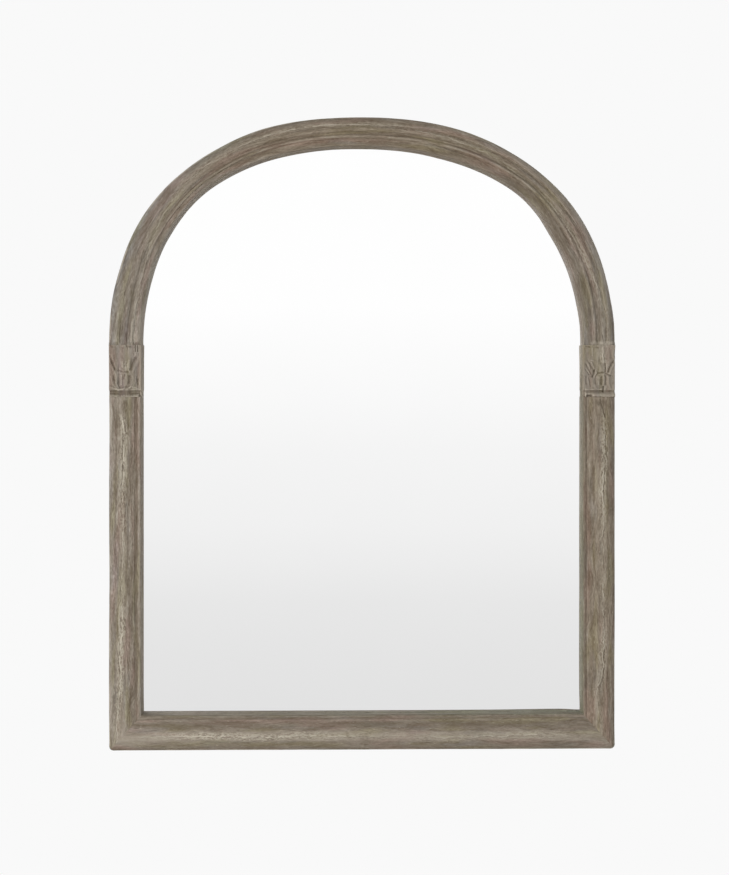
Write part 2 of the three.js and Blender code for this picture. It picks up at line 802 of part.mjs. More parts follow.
addPair("hanger_strap", hangerStrap(), "steel");
addPair("hanger_ring", hangerRing(), "steel");
hangerScrewPlaces.forEach(([x, z], i) => {
  addPair(`hanger_screw_${i + 1}`, screw(x, z, hangerScrewFace, hangerScrewSizes), "steel");
});
addPair("wall_bumper", bumper(), "rubber");

export default mirror;
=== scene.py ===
# The looks of an arched wall mirror: a weathered wooden frame with carved capitals round a plain
# silvered glass, and the hangers on its back. Metres throughout, +Z up, the front towards -Y.
import math

import bpy
import numpy as np
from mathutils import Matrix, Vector


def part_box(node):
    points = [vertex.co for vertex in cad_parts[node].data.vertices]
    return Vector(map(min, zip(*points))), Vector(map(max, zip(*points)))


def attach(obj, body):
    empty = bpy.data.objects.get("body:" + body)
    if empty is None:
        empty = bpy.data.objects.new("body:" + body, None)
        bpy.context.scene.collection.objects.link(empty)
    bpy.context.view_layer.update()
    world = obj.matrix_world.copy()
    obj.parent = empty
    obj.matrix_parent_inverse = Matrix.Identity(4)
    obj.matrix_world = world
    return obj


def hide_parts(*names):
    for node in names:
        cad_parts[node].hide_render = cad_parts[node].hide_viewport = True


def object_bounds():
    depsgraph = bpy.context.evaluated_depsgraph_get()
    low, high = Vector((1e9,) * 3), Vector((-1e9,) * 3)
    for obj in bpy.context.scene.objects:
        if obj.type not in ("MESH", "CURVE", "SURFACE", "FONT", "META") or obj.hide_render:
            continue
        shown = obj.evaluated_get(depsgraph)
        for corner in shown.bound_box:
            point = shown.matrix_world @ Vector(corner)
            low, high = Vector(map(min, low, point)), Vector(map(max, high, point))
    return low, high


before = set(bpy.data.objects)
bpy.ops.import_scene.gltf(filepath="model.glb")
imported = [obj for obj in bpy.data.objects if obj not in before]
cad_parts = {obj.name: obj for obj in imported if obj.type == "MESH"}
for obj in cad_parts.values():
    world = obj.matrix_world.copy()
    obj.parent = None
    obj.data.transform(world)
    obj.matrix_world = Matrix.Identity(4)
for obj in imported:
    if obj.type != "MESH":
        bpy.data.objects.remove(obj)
cad_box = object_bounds()
mm = 0.001

# Sizes of the frame, as in the model
overall_width = 800 * mm
overall_height = 1000 * mm
spring_height = 640 * mm
stile_width = 51 * mm
rail_width = 55.5 * mm
crown_width = 45 * mm
moulding_height = 33 * mm
corner_radius = 8 * mm
arch_fullness = 2.24
blend_shares = (0.17, 0.27)
crown_joint_share = 0.265
glass_seat = 8.1 * mm
board_seat = 3.8 * mm
glass_lap = 8 * mm
board_lap = 18 * mm
seat_height = 21 * mm
capital_height = 82 * mm
capital_proud = 1.5 * mm
back_plane_y = 14.1 * mm

# Profiles across a member: shares of its width and of the moulding's height. A row of four bends by
# way of the point in its first two shares.
stile_profile = [
    (0, 0.68),
    (0, 0.87, 0.08, 0.905),
    (0.15, 0.96, 0.23, 0.95),
    (0.38, 1.06, 0.75, 0.88),
    (0.79, 0.868, 0.815, 0.83),
    (0.88, 0.825),
    (0.92, 0.89, 0.955, 0.88),
    (0.99, 0.86, 1, 0.79),
]
arch_profile = [
    (0, 0.68),
    (0, 0.86, 0.07, 0.89),
    (0.18, 0.99, 0.275, 0.965),
    (0.305, 0.905),
    (0.335, 0.905),
    (0.36, 0.94),
    (0.42, 1.01, 0.49, 0.96),
    (0.53, 0.89),
    (0.6, 0.885),
    (0.675, 1.08, 0.725, 0.9),
    (0.75, 0.87),
    (0.775, 0.89),
    (0.98, 0.98, 1, 0.79),
]
face_step = 0.5 * mm
wall_step = 2 * mm
along_step = 1.8 * mm
dip_step = 0.25 * mm
sliver = 0.02 * mm
wood_sharp_angle, metal_sharp_angle, ring_sharp_angle, carving_sharp_angle = 40, 35, 60, 70

# Camera
camera_place = Vector((-0.043, -2.57, 0.585))
camera_yaw = math.radians(1.028)
picture_height = 875
focal_pixels = 1619.1
shift_pixels = -57.7
sensor_height = 36

# Smooth noise of about -1 to 1 over a plane, in units of its own cells
noise_table = np.random.default_rng(11).random((256, 256))


def noise(x, y, seed):
    x, y = np.broadcast_arrays(x, y)
    i, j = np.floor(x).astype(int), np.floor(y).astype(int)
    p, q = x - i, y - j
    p, q = p * p * (3 - 2 * p), q * q * (3 - 2 * q)

    def corner(a, b):
        return noise_table[(i + a + seed * 37) % 256, (j + b + seed * 91) % 256]

    low = corner(0, 0) * (1 - p) + corner(1, 0) * p
    high = corner(0, 1) * (1 - p) + corner(1, 1) * p
    return 2 * (low * (1 - q) + high * q) - 1


def smoothstep(low, high, x):
    t = np.clip((x - low) / (high - low), 0, 1)
    return t * t * (3 - 2 * t)


def hump(x, reach):
    return np.exp(-((x / reach) ** 2))


def placed(name, data):
    """A new object in the scene"""
    made = bpy.data.objects.new(name, data)
    bpy.context.scene.collection.objects.link(made)
    return made


def circle(count):
    return np.linspace(0, 2 * np.pi, count, endpoint=False)


# Meshes
def mesh_object(name, points, quads, ends, attributes, sharp_angle):
    """A closed mesh of four-sided faces and a few many-sided ends, turned outside out"""
    quads = np.asarray(quads, dtype=np.int32)
    centre = points.mean(0)
    a, b, c, d = (points[quads[:, k]] - centre for k in range(4))
    volume = np.einsum("ij,ij->", a, np.cross(b, c)) + np.einsum("ij,ij->", a, np.cross(c, d))
    faces = [quads] + [np.asarray(end, dtype=np.int32)[None, :] for end in ends]
    if volume < 0:
        faces = [face[:, ::-1] for face in faces]
    counts = np.concatenate([np.full(len(face), face.shape[1]) for face in faces])
    mesh = bpy.data.meshes.new(name)
    mesh.vertices.add(len(points))
    mesh.vertices.foreach_set("co", np.ascontiguousarray(points, dtype=np.float32).ravel())
    mesh.loops.add(int(counts.sum()))
    mesh.loops.foreach_set("vertex_index", np.concatenate([face.ravel() for face in faces]))
    mesh.polygons.add(len(counts))
    mesh.polygons.foreach_set("loop_start", np.cumsum(counts) - counts)
    mesh.update(calc_edges=True)
    for key, values in attributes.items():
        layer = mesh.attributes.new(key, "FLOAT_VECTOR", "POINT")
        layer.data.foreach_set("vector", np.ascontiguousarray(values, dtype=np.float32).ravel())
    mesh.shade_smooth()
    mesh.set_sharp_from_angle(angle=math.radians(sharp_angle))
    return placed(name, mesh)


def tube_faces(rows, n, closed=False):
    """Four-sided faces between rows of n points that each go round, and that meet end to end if closed"""
    first = np.arange(rows if closed else rows - 1)[:, None] * n + np.arange(n)
    after = np.roll(first, -1, 1)
    return np.stack([first, after, (after + n) % (rows * n), (first + n) % (rows * n)], -1).reshape(-1, 4)


def lofted(name, rings, attributes=None, sharp_angle=metal_sharp_angle):
    """A closed mesh through rings of points, with a flat end on the first and the last"""
    count, n, _ = rings.shape
    ends = [np.arange(n)[::-1], (count - 1) * n + np.arange(n)]
    return mesh_object(name, rings.reshape(-1, 3), tube_faces(count, n), ends, attributes or {}, sharp_angle)


def dress(piece, node, body, material):
    piece.data.materials.append(material)
    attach(piece, body)
    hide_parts(node)


def stacked(*parts):
    return np.stack(np.broadcast_arrays(*parts), -1).reshape(-1, 3)


def dense_profile(rows, width):
    """The closed outline of a moulding as shares of width and height, finely cut, and marks of its face"""
    corners = [(0, 0)]
    points = [(0, 0)]
    marks = [-1]
    for n, row in enumerate(rows):
        start = corners[-1]
        end = row[-2:]
        bend = row[:2] if len(row) == 4 else ((start[0] + end[0]) / 2, (start[1] + end[1]) / 2)
        span = math.hypot((end[0] - start[0]) * width, (end[1] - start[1]) * moulding_height)
        count = max(1, round(span / (wall_step if n == 0 else face_step)))
        for k in range(1, count + 1):
            t = k / count
            a, b, c = (1 - t) ** 2, 2 * t * (1 - t), t * t
            points.append(tuple(a * start[i] + b * bend[i] + c * end[i] for i in (0, 1)))
            marks.append(t if n == 0 else 1)
        corners.append(end)
    wall_top = corners[-1][1] * moulding_height
    count = round((wall_top - glass_seat) / wall_step)
    for k in range(1, count + 1):
        points.append((1, (wall_top + (glass_seat - wall_top) * k / count) / moulding_height))
        marks.append(1 - k / count)
    rebates = [(glass_lap, glass_seat), (glass_lap, board_seat), (board_lap, board_seat), (board_lap, 0)]
    for lap, seat in rebates:
        points.append((1 - lap / width, seat / moulding_height))
        marks.append(-1)
    return np.array(points), np.array(marks)


def dip(shape, width, reach):
    """How far each point of a profile's face lies under the mean of its neighbours within a reach"""
    profile, marks = shape
    across = profile[:, 0] * width
    face = marks == 1
    grid = np.arange(0, width, dip_step)
    heights = np.interp(grid, across[face], profile[face, 1] * moulding_height)
    cells = round(reach / dip_step)
    padded = np.pad(heights, cells, mode="edge")
    mean = np.convolve(padded, np.ones(2 * cells + 1) / (2 * cells + 1), mode="valid")
    return np.interp(across, grid, mean - heights)[None, :]


# Swells, ridges and fibres of the grain, by length, width and height, its pores likewise, and how far its
# mean lies under the moulding's own surface
grain_waves = [(50 * mm, 9 * mm, 0.26 * mm), (30 * mm, 3.4 * mm, 0.2 * mm), (14 * mm, 1.7 * mm, 0.11 * mm)]
pore_length, pore_width, pore_depth = 9 * mm, 1.9 * mm, 0.3 * mm
grain_depth = 0.6 * mm


def grain_relief(along, across, seed):
    """Height of the weathered grain over the moulding's own surface, where it never rises"""
    height = -grain_depth
    for n, (length, width, rise) in enumerate(grain_waves):
        height = height + rise * noise(along / length, across / width, seed + n)
    pores = noise(along / pore_length, across / pore_width, seed + len(grain_waves))
    return height - pore_depth * smoothstep(0.45, 0.85, pores)


def along_table(table, share):
    """The columns of a table at places along a member, which its first column gives"""
    rows = np.array(table)
    return [np.interp(share, rows[:, 0], rows[:, k]) for k in range(1, rows.shape[1])]


shade_places = (0, 0.06, 0.2, 0.28, 0.38, 0.5, 0.6, 0.7, 0.78, 0.85, 0.92, 1)


def shade_of(rows, share, u):
    """Painted shade along and across a member, partly soil, and painted light where negative, partly rubbed
    wear
    """
    columns = np.stack(along_table(rows, share[:, 0]), -1)
    weights = [np.interp(u[0], shade_places, peak) for peak in np.eye(len(shade_places))]
    return columns @ weights


# Wear along a member: the grain and wandering die out near its ends, where corners are worn smooth. The
# figure stands up a little, with a crack beside it.
end_calm = 3 * mm
turn_reach = 25 * mm
corner_wear_reach = 9 * mm
corner_wear = 0.7
edge_wave_height, long_edge_wave, short_edge_wave = 0.2 * mm, 110 * mm, 20 * mm
figure_reach, figure_height = 4.5 * mm, 0.25 * mm
figure_fleck_length, figure_fleck_width = 5 * mm, 1.8 * mm
crack_offset, crack_reach, crack_depth = 1.2 * mm, 0.9 * mm, 0.5 * mm
hollow_reach, full_hollow, smooth_reach = 1.5 * mm, 0.5 * mm, 4 * mm
grain_per_seed = 1.37
# A glued end isn't worn, so it counts as lying this much further off
glued = 1


def member(name, shape, width, stations, place, seed, look, ends, turns=False, span=(0, 1)):
    """A length of moulding. Stations run along it, place() gives its points, and look says how worn it is
    and where shade and light are painted
    """
    profile, marks = shape
    along = np.array(stations)[:, None]
    share = (along - stations[0]) / (stations[-1] - stations[0])
    share = span[0] + share * (span[1] - span[0])
    u = profile[None, :, 0]
    steps = np.diff(profile, axis=0) * (width, moulding_height)
    arc = np.concatenate([[0], np.cumsum(np.hypot(*steps.T))])[None, :]
    on_face = np.clip(marks, 0, 1)[None, :]
    from_end = np.minimum(along - stations[0] + ends[0], stations[-1] - along + ends[1])
    away = 1 - hump(from_end, end_calm)

    centre, pale, crack = along_table(look["figure"], share)
    off = (u - centre) * width
    lift = noise(along / figure_fleck_length, arc / figure_fleck_width, seed + 5)
    relief = grain_relief(along, arc, seed) + hump(off, figure_reach) * pale * figure_height * lift
    relief = relief - hump(off + crack_offset, crack_reach) * crack * crack_depth
    relief = ((relief + grain_depth) * away * look["rough"] - grain_depth) * on_face

    wave = noise(along / long_edge_wave, 0 * u, seed + 7)
    wave = wave + 0.6 * noise(along / short_edge_wave, 0 * u, seed + 8) + 1.6
    outer, inner, middle = along_table(look["edges"], share)
    fade = 1 - hump(from_end, turn_reach) if turns else 1
    moved = outer * (1 - u) ** 2 + inner * u**2 + middle * np.sin(np.pi * u)
    wander = edge_wave_height * wave * (1 - u) * away + moved * mm * fade

    (soft,) = along_table(look["soft"], share)
    if turns:
        soft = np.maximum(soft, corner_wear * hump(from_end, corner_wear_reach))
    worn = profile[None, :, 1] * moulding_height + dip(shape, width, smooth_reach) * on_face * soft
    points, distance = place(along, u, worn + relief, wander * (marks >= 0))
    points = np.clip(points, *cad_box)

    # Painted shade in the profile's hollows and the grain's dips, and painted shade and light from the
    # shades tables, partly soil and wear. edge: painted highlight on the crests and where the wood is much
    # lighter, partly pale wear.
    near = dip(shape, width, hollow_reach) / full_hollow
    painted_shade_and_soil = 0.4 * np.clip(near, -1, 1) * (1 - soft) + shade_of(look["shades"], share, u)
    painted_shade_and_soil = painted_shade_and_soil + np.clip(-(relief + grain_depth) / mm, -0.4, 0.5)
    edge = np.maximum(np.clip(-near - 0.25, 0, 1), np.clip(-painted_shade_and_soil - 1.8, 0, 1))
    warm, grey, haze = along_table(look["cast"], share)
    (glow,) = along_table(look["glow"], share)
    rim = np.maximum(smoothstep(0.32, 0.06, u), 0.5 * smoothstep(0.86, 0.98, u))
    attributes = {
        "grain": stacked(distance + seed * grain_per_seed, arc, 0),
        "form": stacked(painted_shade_and_soil, look["rough"], (marks < 0)[None, :]),
        "figure": stacked(off, pale * on_face, crack * on_face),
        "cast": stacked(warm, np.maximum(grey * rim, haze), edge * on_face),
        # glow: painted green light on the inner wall, from the edge of the glass
        "glow": stacked(glow * smoothstep(0.965, 0.99, u), 0, 0),
    }
    dress(lofted(name, points, attributes, wood_sharp_angle), name, "frame", wood)


# Node trees
class Tree:
    """The nodes of a material or of the world"""

    def __init__(self, owner):
        owner.use_nodes = True
        self.nodes = owner.node_tree.nodes
        self.links = owner.node_tree.links

    def node(self, kind, inputs=None, **settings):
        made = self.nodes.new("ShaderNode" + kind)
        for key, value in settings.items():
            setattr(made, key, value)
        for key, value in (inputs or {}).items():
            if isinstance(value, bpy.types.NodeSocket):
                self.links.new(value, made.inputs[key])
            else:
                made.inputs[key].default_value = value
        return made

    def attribute(self, name):
        return self.node("Attribute", attribute_name=name).outputs["Vector"]

    def parts(self, vector):
        return self.node("SeparateXYZ", {"Vector": vector}).outputs

    def noise(self, vector, scale, detail=2, roughness=0.5, shift=(0, 0)):
        """Noise over a plane, where scale has two numbers, or in space"""
        mapping = {"Vector": vector, "Scale": (*scale, 0)[:3], "Location": (*shift, 0)}
        mapped = self.node("Mapping", mapping).outputs["Vector"]
        inputs = {"Scale": 1, "Detail": detail, "Roughness": roughness, "Vector": mapped}
        return self.node("TexNoise", inputs).outputs["Fac"]

    def range(self, value, low, high, to_low=0, to_high=1, kind="SMOOTHSTEP"):
        inputs = {"Value": value, "From Min": low, "From Max": high, "To Min": to_low, "To Max": to_high}
        return self.node("MapRange", inputs, interpolation_type=kind).outputs["Result"]

    def maths(self, operation, a, b=0):
        return self.node("Math", {0: a, 1: b}, operation=operation).outputs[0]

    def close(self, distance, far, near):
        """1 within near of a line and 0 beyond far, at a signed distance from it"""
        return self.range(self.maths("ABSOLUTE", distance), far, near)

    def total(self, *terms):
        """The sum of a start value and of (value, factor) terms"""
        result = terms[0]
        for value, factor in terms[1:]:
            result = self.maths("ADD", result, self.maths("MULTIPLY", value, factor))
        return result

    def product(self, *values):
        result = values[0]
        for value in values[1:]:
            result = self.maths("MULTIPLY", result, value)
        return result

    def mix(self, factor, a, b, blend="MIX"):
        return self.node("Mix", {0: factor, 6: a, 7: b}, data_type="RGBA", blend_type=blend).outputs[2]

    def tint(self, factor, base, colour):
        return self.mix(factor, base, (*colour, 1), "MULTIPLY")

    def ramp(self, value, stops):
        made = self.node("ValToRGB", {"Fac": value})
        elements = made.color_ramp.elements
        while len(elements) < len(stops):
            elements.new(0.5)
        for element, (place, colour) in zip(elements, stops):
            element.position = place
            element.color = colour
        return made.outputs["Color"]

    def surface(self, colour, roughness, **bump):
        """The principled shader with a colour, a roughness and, where its inputs are given, a bump"""
        shader = self.nodes["Principled BSDF"]
        self.links.new(colour, shader.inputs["Base Color"])
        self.links.new(roughness, shader.inputs["Roughness"])
        if bump:
            self.links.new(self.node("Bump", bump).outputs["Normal"], shader.inputs["Normal"])
        return shader


def srgb(r, g, b):
    def linear(c):
        c /= 255
        return c / 12.92 if c <= 0.04045 else ((c + 0.055) / 1.055) ** 2.4

    return (linear(r), linear(g), linear(b), 1)


# From the soiled to the limed, and the bare wood's
wood_tones = [
    (0, srgb(93, 81, 65)),
    (0.3, srgb(121, 109, 94)),
    (0.5, srgb(138, 127, 113)),
    (0.72, srgb(155, 145, 131)),
    (1, srgb(180, 171, 157)),
]
bare_tones = [(0, srgb(118, 97, 73)), (1, srgb(160, 138, 109))]


def weathered_wood():
    """Grey-brown weathered wood with limed grain, a cathedral figure, painted shade with soil in its hollows
    and painted highlights with pale wear on its crests
    """
    material = bpy.data.materials.new("weathered_wood")
    t = Tree(material)
    grain = t.attribute("grain")
    along = t.parts(grain)[0]
    shade_and_soil, rough, raw = t.parts(t.attribute("form"))
    off, pale, crack = t.parts(t.attribute("figure"))
    # The cast's third part is a painted highlight on the crests, partly pale wear
    warm_cast, grey_cast, edge = t.parts(t.attribute("cast"))

    # The grain wanders a little across the member
    drift = t.noise(grain, (11, 18))
    bend = t.node("CombineXYZ", {"Y": t.maths("MULTIPLY", t.maths("SUBTRACT", drift, 0.5), 0.02)})
    wavy = t.node("VectorMath", {0: grain, 1: bend.outputs[0]}, operation="ADD").outputs[0]

    broad = t.noise(wavy, (17, 120))
    streaks = t.noise(wavy, (34, 300))
    fine = t.noise(wavy, (160, 640))
    fibres = t.noise(wavy, (90, 2300), 1)
    threads = t.noise(wavy, (140, 5200), 2, 0.6, shift=(2.3, 6.7))
    tone = t.total(-2.19, (broad, 0.95), (streaks, 1.1), (fine, 1), (fibres, 0.6), (threads, 0.7))
    painted = t.ramp(t.total(0.5, (tone, rough)), wood_tones)

    # Patches that lean to pink, olive and grey, and the casts
    warm = t.noise(grain, (9, 60), shift=(8.3, 1.1))
    cool = t.noise(grain, (12, 75), shift=(2.9, 7.4))
    patchy = t.range(t.noise(grain, (8, 30), shift=(5.5, 9.1)), 0.35, 0.55, 0.6, 1)
    tints = [
        (t.range(warm, 0.5, 0.66, 0, 0.85), (1.06, 0.945, 0.965)),
        (t.range(warm, 0.48, 0.33, 0, 0.85), (0.985, 1, 0.83)),
        (t.range(cool, 0.52, 0.68, 0, 0.7), (0.92, 0.97, 1.06)),
        (warm_cast, (1, 0.955, 0.89)),
        (t.product(grey_cast, patchy), (0.92, 1.01, 1.16)),
    ]

    # Open pores and limed flecks
    pores = t.noise(wavy, (70, 620), shift=(1.7, 5.2))
    flecks = t.noise(wavy, (95, 430), 4, 0.65, shift=(3.1, 0.7))
    hairs = t.range(t.noise(wavy, (75, 2100), 1, shift=(8.8, 3.6)), 0.6, 0.68, 0, 0.5)

    # The figure: a wandering pale line with a dark crack beside it, flecks round them, and dark V lines
    sway = t.noise(grain, (48, 0), shift=(0.3, 4.4))
    jitter = t.noise(grain, (230, 0), 1, shift=(6.1, 2.2))
    swayed = t.total(off, (t.maths("SUBTRACT", sway, 0.5), 0.009))
    line = t.total(swayed, (t.maths("SUBTRACT", jitter, 0.5), 0.0022))
    beside = t.maths("ADD", line, 0.0021)
    broken = t.range(t.noise(grain, (52, 0), shift=(9.2, 3.3)), 0.42, 0.5)
    pale_line = t.product(t.close(line, 0.0012, 0.0003), broken, pale)
    parted = t.range(t.noise(grain, (45, 0), shift=(2.1, 8.6)), 0.44, 0.52)
    dark_line = t.product(t.close(beside, 0.0012, 0.0003), parted, crack)
    near = t.close(line, 0.008, 0.002)
    crackle = t.noise(wavy, (210, 470), 4, 0.65, shift=(0.4, 2.2))
    pale_flecks = t.product(t.range(crackle, 0.54, 0.62), near, pale, 0.75)
    dark_flecks = t.product(t.range(crackle, 0.46, 0.38), near, t.maths("MAXIMUM", pale, crack), 0.6)
    sweep = t.total(along, (t.maths("ABSOLUTE", line), 2.6), (drift, 0.02))
    arches = t.noise(t.node("CombineXYZ", {"X": sweep}).outputs[0], (170, 0), 1, shift=(4.2, 0))
    v_lines = t.product(t.range(arches, 0.42, 0.34), near, crack, 0.6)
    cells = t.noise(grain, (85, 230), 3, 0.6, shift=(7.4, 1.9))
    vein = t.close(t.maths("SUBTRACT", cells, 0.5), 0.075, 0.03)
    veins = t.product(vein, t.close(line, 0.008, 0.003), pale, 0.75)

    # Painted shade, partly soil, in the hollows, and painted light, partly rubbed wear, on the crests
    patches = t.range(t.noise(grain, (16, 40), shift=(1.2, 3.9)), 0.35, 0.6, 0.6, 1.15)
    painted_shade_and_soil = t.product(shade_and_soil, patches)
    dashes = t.range(t.noise(grain, (22, 70), shift=(7.7, 0.4)), 0.47, 0.56)

    # All of these over one another, then bare wood on the hidden sides
    layers = [
        (t.range(pores, 0.6, 0.7, 0, 0.5), (92, 79, 62)),
        (hairs, (88, 76, 60)),
        (t.range(flecks, 0.6, 0.7, 0, 0.6), (194, 185, 168)),
        (t.maths("MAXIMUM", dark_flecks, v_lines), (95, 83, 66)),
        (t.maths("MAXIMUM", pale_flecks, veins), (190, 181, 163)),
        (t.product(dark_line, 0.85), (78, 66, 51)),
        (t.product(pale_line, 0.85), (206, 198, 180)),
        # Painted shade with soil, painted light with rubbed wear, then painted highlights on the crests
        (t.range(painted_shade_and_soil, 0, 1, 0, 0.6, "LINEAR"), (98, 86, 69)),
        (t.range(painted_shade_and_soil, 0, -1, 0, 0.42, "LINEAR"), (184, 174, 158)),
        (t.product(edge, dashes, 0.6), (190, 180, 163)),
    ]
    for strength, tint in tints:
        painted = t.tint(strength, painted, tint)
    for strength, level in layers:
        painted = t.mix(strength, painted, srgb(*level))
    # Painted green light that the edge of the glass casts on the inner wall
    painted = t.tint(t.parts(t.attribute("glow"))[0], painted, (0.88, 1.06, 0.98))
    bare = t.ramp(t.total(-0.6, (streaks, 1.2), (fine, 1)), bare_tones)
    colour = t.mix(raw, painted, bare)

    height = t.total(0, (streaks, 0.9), (fine, 0.7), (fibres, 0.4), (threads, 0.25), (hairs, -0.4))
    height = t.total(height, (t.range(pores, 0.58, 0.72), -0.5))
    height = t.total(height, (dark_line, -1.2), (pale_flecks, 0.4), (dark_flecks, -0.5), (v_lines, -0.5))
    matt = t.range(broad, 0.3, 0.7, 0.74, 0.6)
    shader = t.surface(colour, matt, Height=height, Strength=0.6, Distance=0.9 * mm)
    shader.inputs["Specular IOR Level"].default_value = 0.25
    return material


def plain_material(name, colour, metallic, roughness, speckle, scale, bump):
    """A material of one colour that varies with a fine procedural grain"""
    material = bpy.data.materials.new(name)
    t = Tree(material)
    place = t.node("TexCoord").outputs["Object"]
    fine = t.noise(place, scale, 3, 0.6)
    slow = t.noise(place, tuple(s / 12 for s in scale))
    dark, light = (tuple(min(1, c * lit) for c in colour[:3]) + (1,) for lit in (1 - speckle, 1 + speckle))
    spread = t.mix(t.range(t.total(0, (fine, 0.6), (slow, 0.4)), 0.35, 0.65), dark, light)
    matt = t.range(slow, 0.3, 0.7, roughness * 0.85, roughness * 1.2)
    shader = t.surface(spread, matt, Height=fine, Strength=0.4, Distance=bump)
    shader.inputs["Metallic"].default_value = metallic
    return material


def mirror_material():
    material = bpy.data.materials.new("mirror_silver")
    t = Tree(material)
    cloud = t.noise(t.node("TexCoord").outputs["Object"], (6, 6, 6))
    shade = t.mix(cloud, (0.985, 0.985, 0.985, 1), (1, 1, 1, 1))
    shader = t.surface(shade, t.range(cloud, 0.3, 0.7, 0.004, 0.012))
    shader.inputs["Metallic"].default_value = 1
    return material


wood = weathered_wood()
silver = mirror_material()
board_colour, beech_colour = srgb(158, 124, 90), srgb(208, 178, 140)
fibreboard = plain_material("backing_fibreboard", board_colour, 0, 0.85, 0.14, (700, 700, 700), 0.3 * mm)
beech = plain_material("beech", beech_colour, 0, 0.7, 0.12, (400, 400, 60), 0.2 * mm)
steel = plain_material("zinc_steel", srgb(196, 198, 200), 1, 0.3, 0.08, (500, 500, 500), 0.05 * mm)
rubber = plain_material("bumper_rubber", srgb(42, 42, 44), 0, 0.7, 0.15, (900, 900, 900), 0.1 * mm)


# The stiles and the bottom rail, with rounded outer corners and mitred ends
seat_start = spring_height - capital_height
seat_bevel, seat_bevel_reach = 0.6 * mm, 1.5 * mm
mitre_halvings = 40


def corner_inset(distance):
    """How far a rounded corner draws the outer edge in, at a distance from the neighbouring edge"""
    d = np.clip(distance, 0, corner_radius)
    return corner_radius - np.sqrt(corner_radius**2 - (corner_radius - d) ** 2)


def mitre_end(w, width, rise):
    """How far from the neighbouring outer edge each line of a moulding ends, on the mitre"""
    low, high = np.zeros_like(w), np.full_like(w, 2 * width)
    for _ in range(mitre_halvings):
        middle = (low + high) / 2
        reach = w + corner_inset(middle) * (1 - w / width) ** 2
        short = middle < rise * reach
        low, high = np.where(short, middle, low), np.where(short, high, middle)
    return (low + high) / 2


def at(x, h, z):
    return np.stack(np.broadcast_arrays(x, back_plane_y - h, z), -1)


# How each member has worn, and where shade and light are painted on it. Rows start with a share of its
# length. figure: the share across it where its cathedral figure runs, and the strength of the pale line
# and of the crack there. edges: how far the outer edge, the inner edge and the middle lie further in, in
# millimetres. soft: how far the profile is worn smooth. shades: painted shade across the member, partly
# soil, and painted light where negative, partly rubbed wear, at shade_places. cast: how warm it is, and
# how grey at its rims and all over. glow: painted green light that the edge of the glass casts on the
# inner wall.
left_look = {
    "rough": 1,
    "glow": [(0, 0)],
    "figure": [
        (0, 0.25, 0.3, 0.2), (0.06, 0.27, 0.6, 0.3), (0.12, 0.33, 0.8, 0.3), (0.16, 0.4, 0.9, 0.3),
        (0.2, 0.36, 0.8, 0.4), (0.28, 0.41, 0.9, 0.3), (0.34, 0.42, 0.5, 0.2), (0.47, 0.42, 0.3, 0.3),
        (0.56, 0.46, 0.6, 0.3), (0.64, 0.43, 0.7, 0.3), (0.69, 0.47, 1, 0.5), (0.78, 0.48, 1, 0.5),
        (0.82, 0.42, 0.9, 0.3), (0.835, 0.42, 0, 0.5), (0.86, 0.42, 0, 0.3), (1, 0.42, 0, 0),
    ],
    "edges": [
        (0, -0.3, -0.4, 0), (0.3, -0.4, -0.3, 0), (0.4, 0.1, -0.3, 0), (0.6, -0.4, -0.3, 0),
        (0.78, 0.4, -0.3, 0), (0.9, 0, -0.4, 0), (1, 0.6, -0.4, 0),
    ],
    "soft": [(0, 0.1)],
    "shades": [
        (0, 0.8, 0, -0.4, -0.5, -0.7, -0.4, -0.1, 0.3, 0.3, 0.5, 0.1, -0.3),
        (0.05, 0.7, -0.4, 0.2, 0.1, -0.4, 0, 0.15, 0.2, 0.1, 1.3, -0.1, -0.6),
        (0.855, 0.7, -0.4, 0.4, 0.3, -0.3, 0, 0.15, 0.2, 0.1, 1.3, -0.1, -0.6),
        (0.872, 0.2, -0.8, -0.6, -0.6, -0.8, -0.6, -0.6, 0, 0.3, 1, -0.1, -0.8),
    ],
    "cast": [(0, 0, 0.3, 0)],
}
right_look = {
    "rough": 0.8,
    "glow": [(0, 0.8), (1, 0.4)],
    "figure": [
        (0, 0.42, 0.1, 0.1), (0.09, 0.6, 0.3, 0.3), (0.16, 0.42, 0.5, 0.6), (0.23, 0.36, 0.7, 0.8),
        (0.34, 0.38, 0.5, 0.5), (0.47, 0.4, 0.3, 0.4), (0.59, 0.41, 0.6, 0.5), (0.66, 0.37, 1, 0.6),
        (0.73, 0.36, 1, 0.6), (0.78, 0.34, 0.8, 0.6), (0.82, 0.36, 0.4, 0.8), (0.85, 0.5, 0.2, 1),
        (0.875, 0.5, 0, 0.8), (1, 0.5, 0, 0),
    ],
    "edges": [
        (0, 0.5, 0.7, -0.3), (0.15, 0.2, 0.9, -0.3), (0.35, -0.2, 0.6, -0.3), (0.55, -0.3, 0.6, -0.3),
        (0.75, 0, 0.4, -0.3), (1, 0, 0.2, -0.3),
    ],
    "soft": [(0, 0.3)],
    "shades": [
        (0.846, 1.2, 0, 0.4, 0, 0, 0.2, -0.3, 0.1, 0.4, -0.5, 0.6, 1.1),
        (0.857, 1.2, 0, 0.4, 0.4, 1, 1.1, 0.7, 0.1, 0.4, -0.5, 0.6, 1.1),
        (0.867, 0.8, 0, 0.2, 0, 0, 0.2, -0.3, 0.1, 0.4, -0.5, 0.6, 1.1),
    ],
    "cast": [(0, 0.7, 0.3, 0)],
}
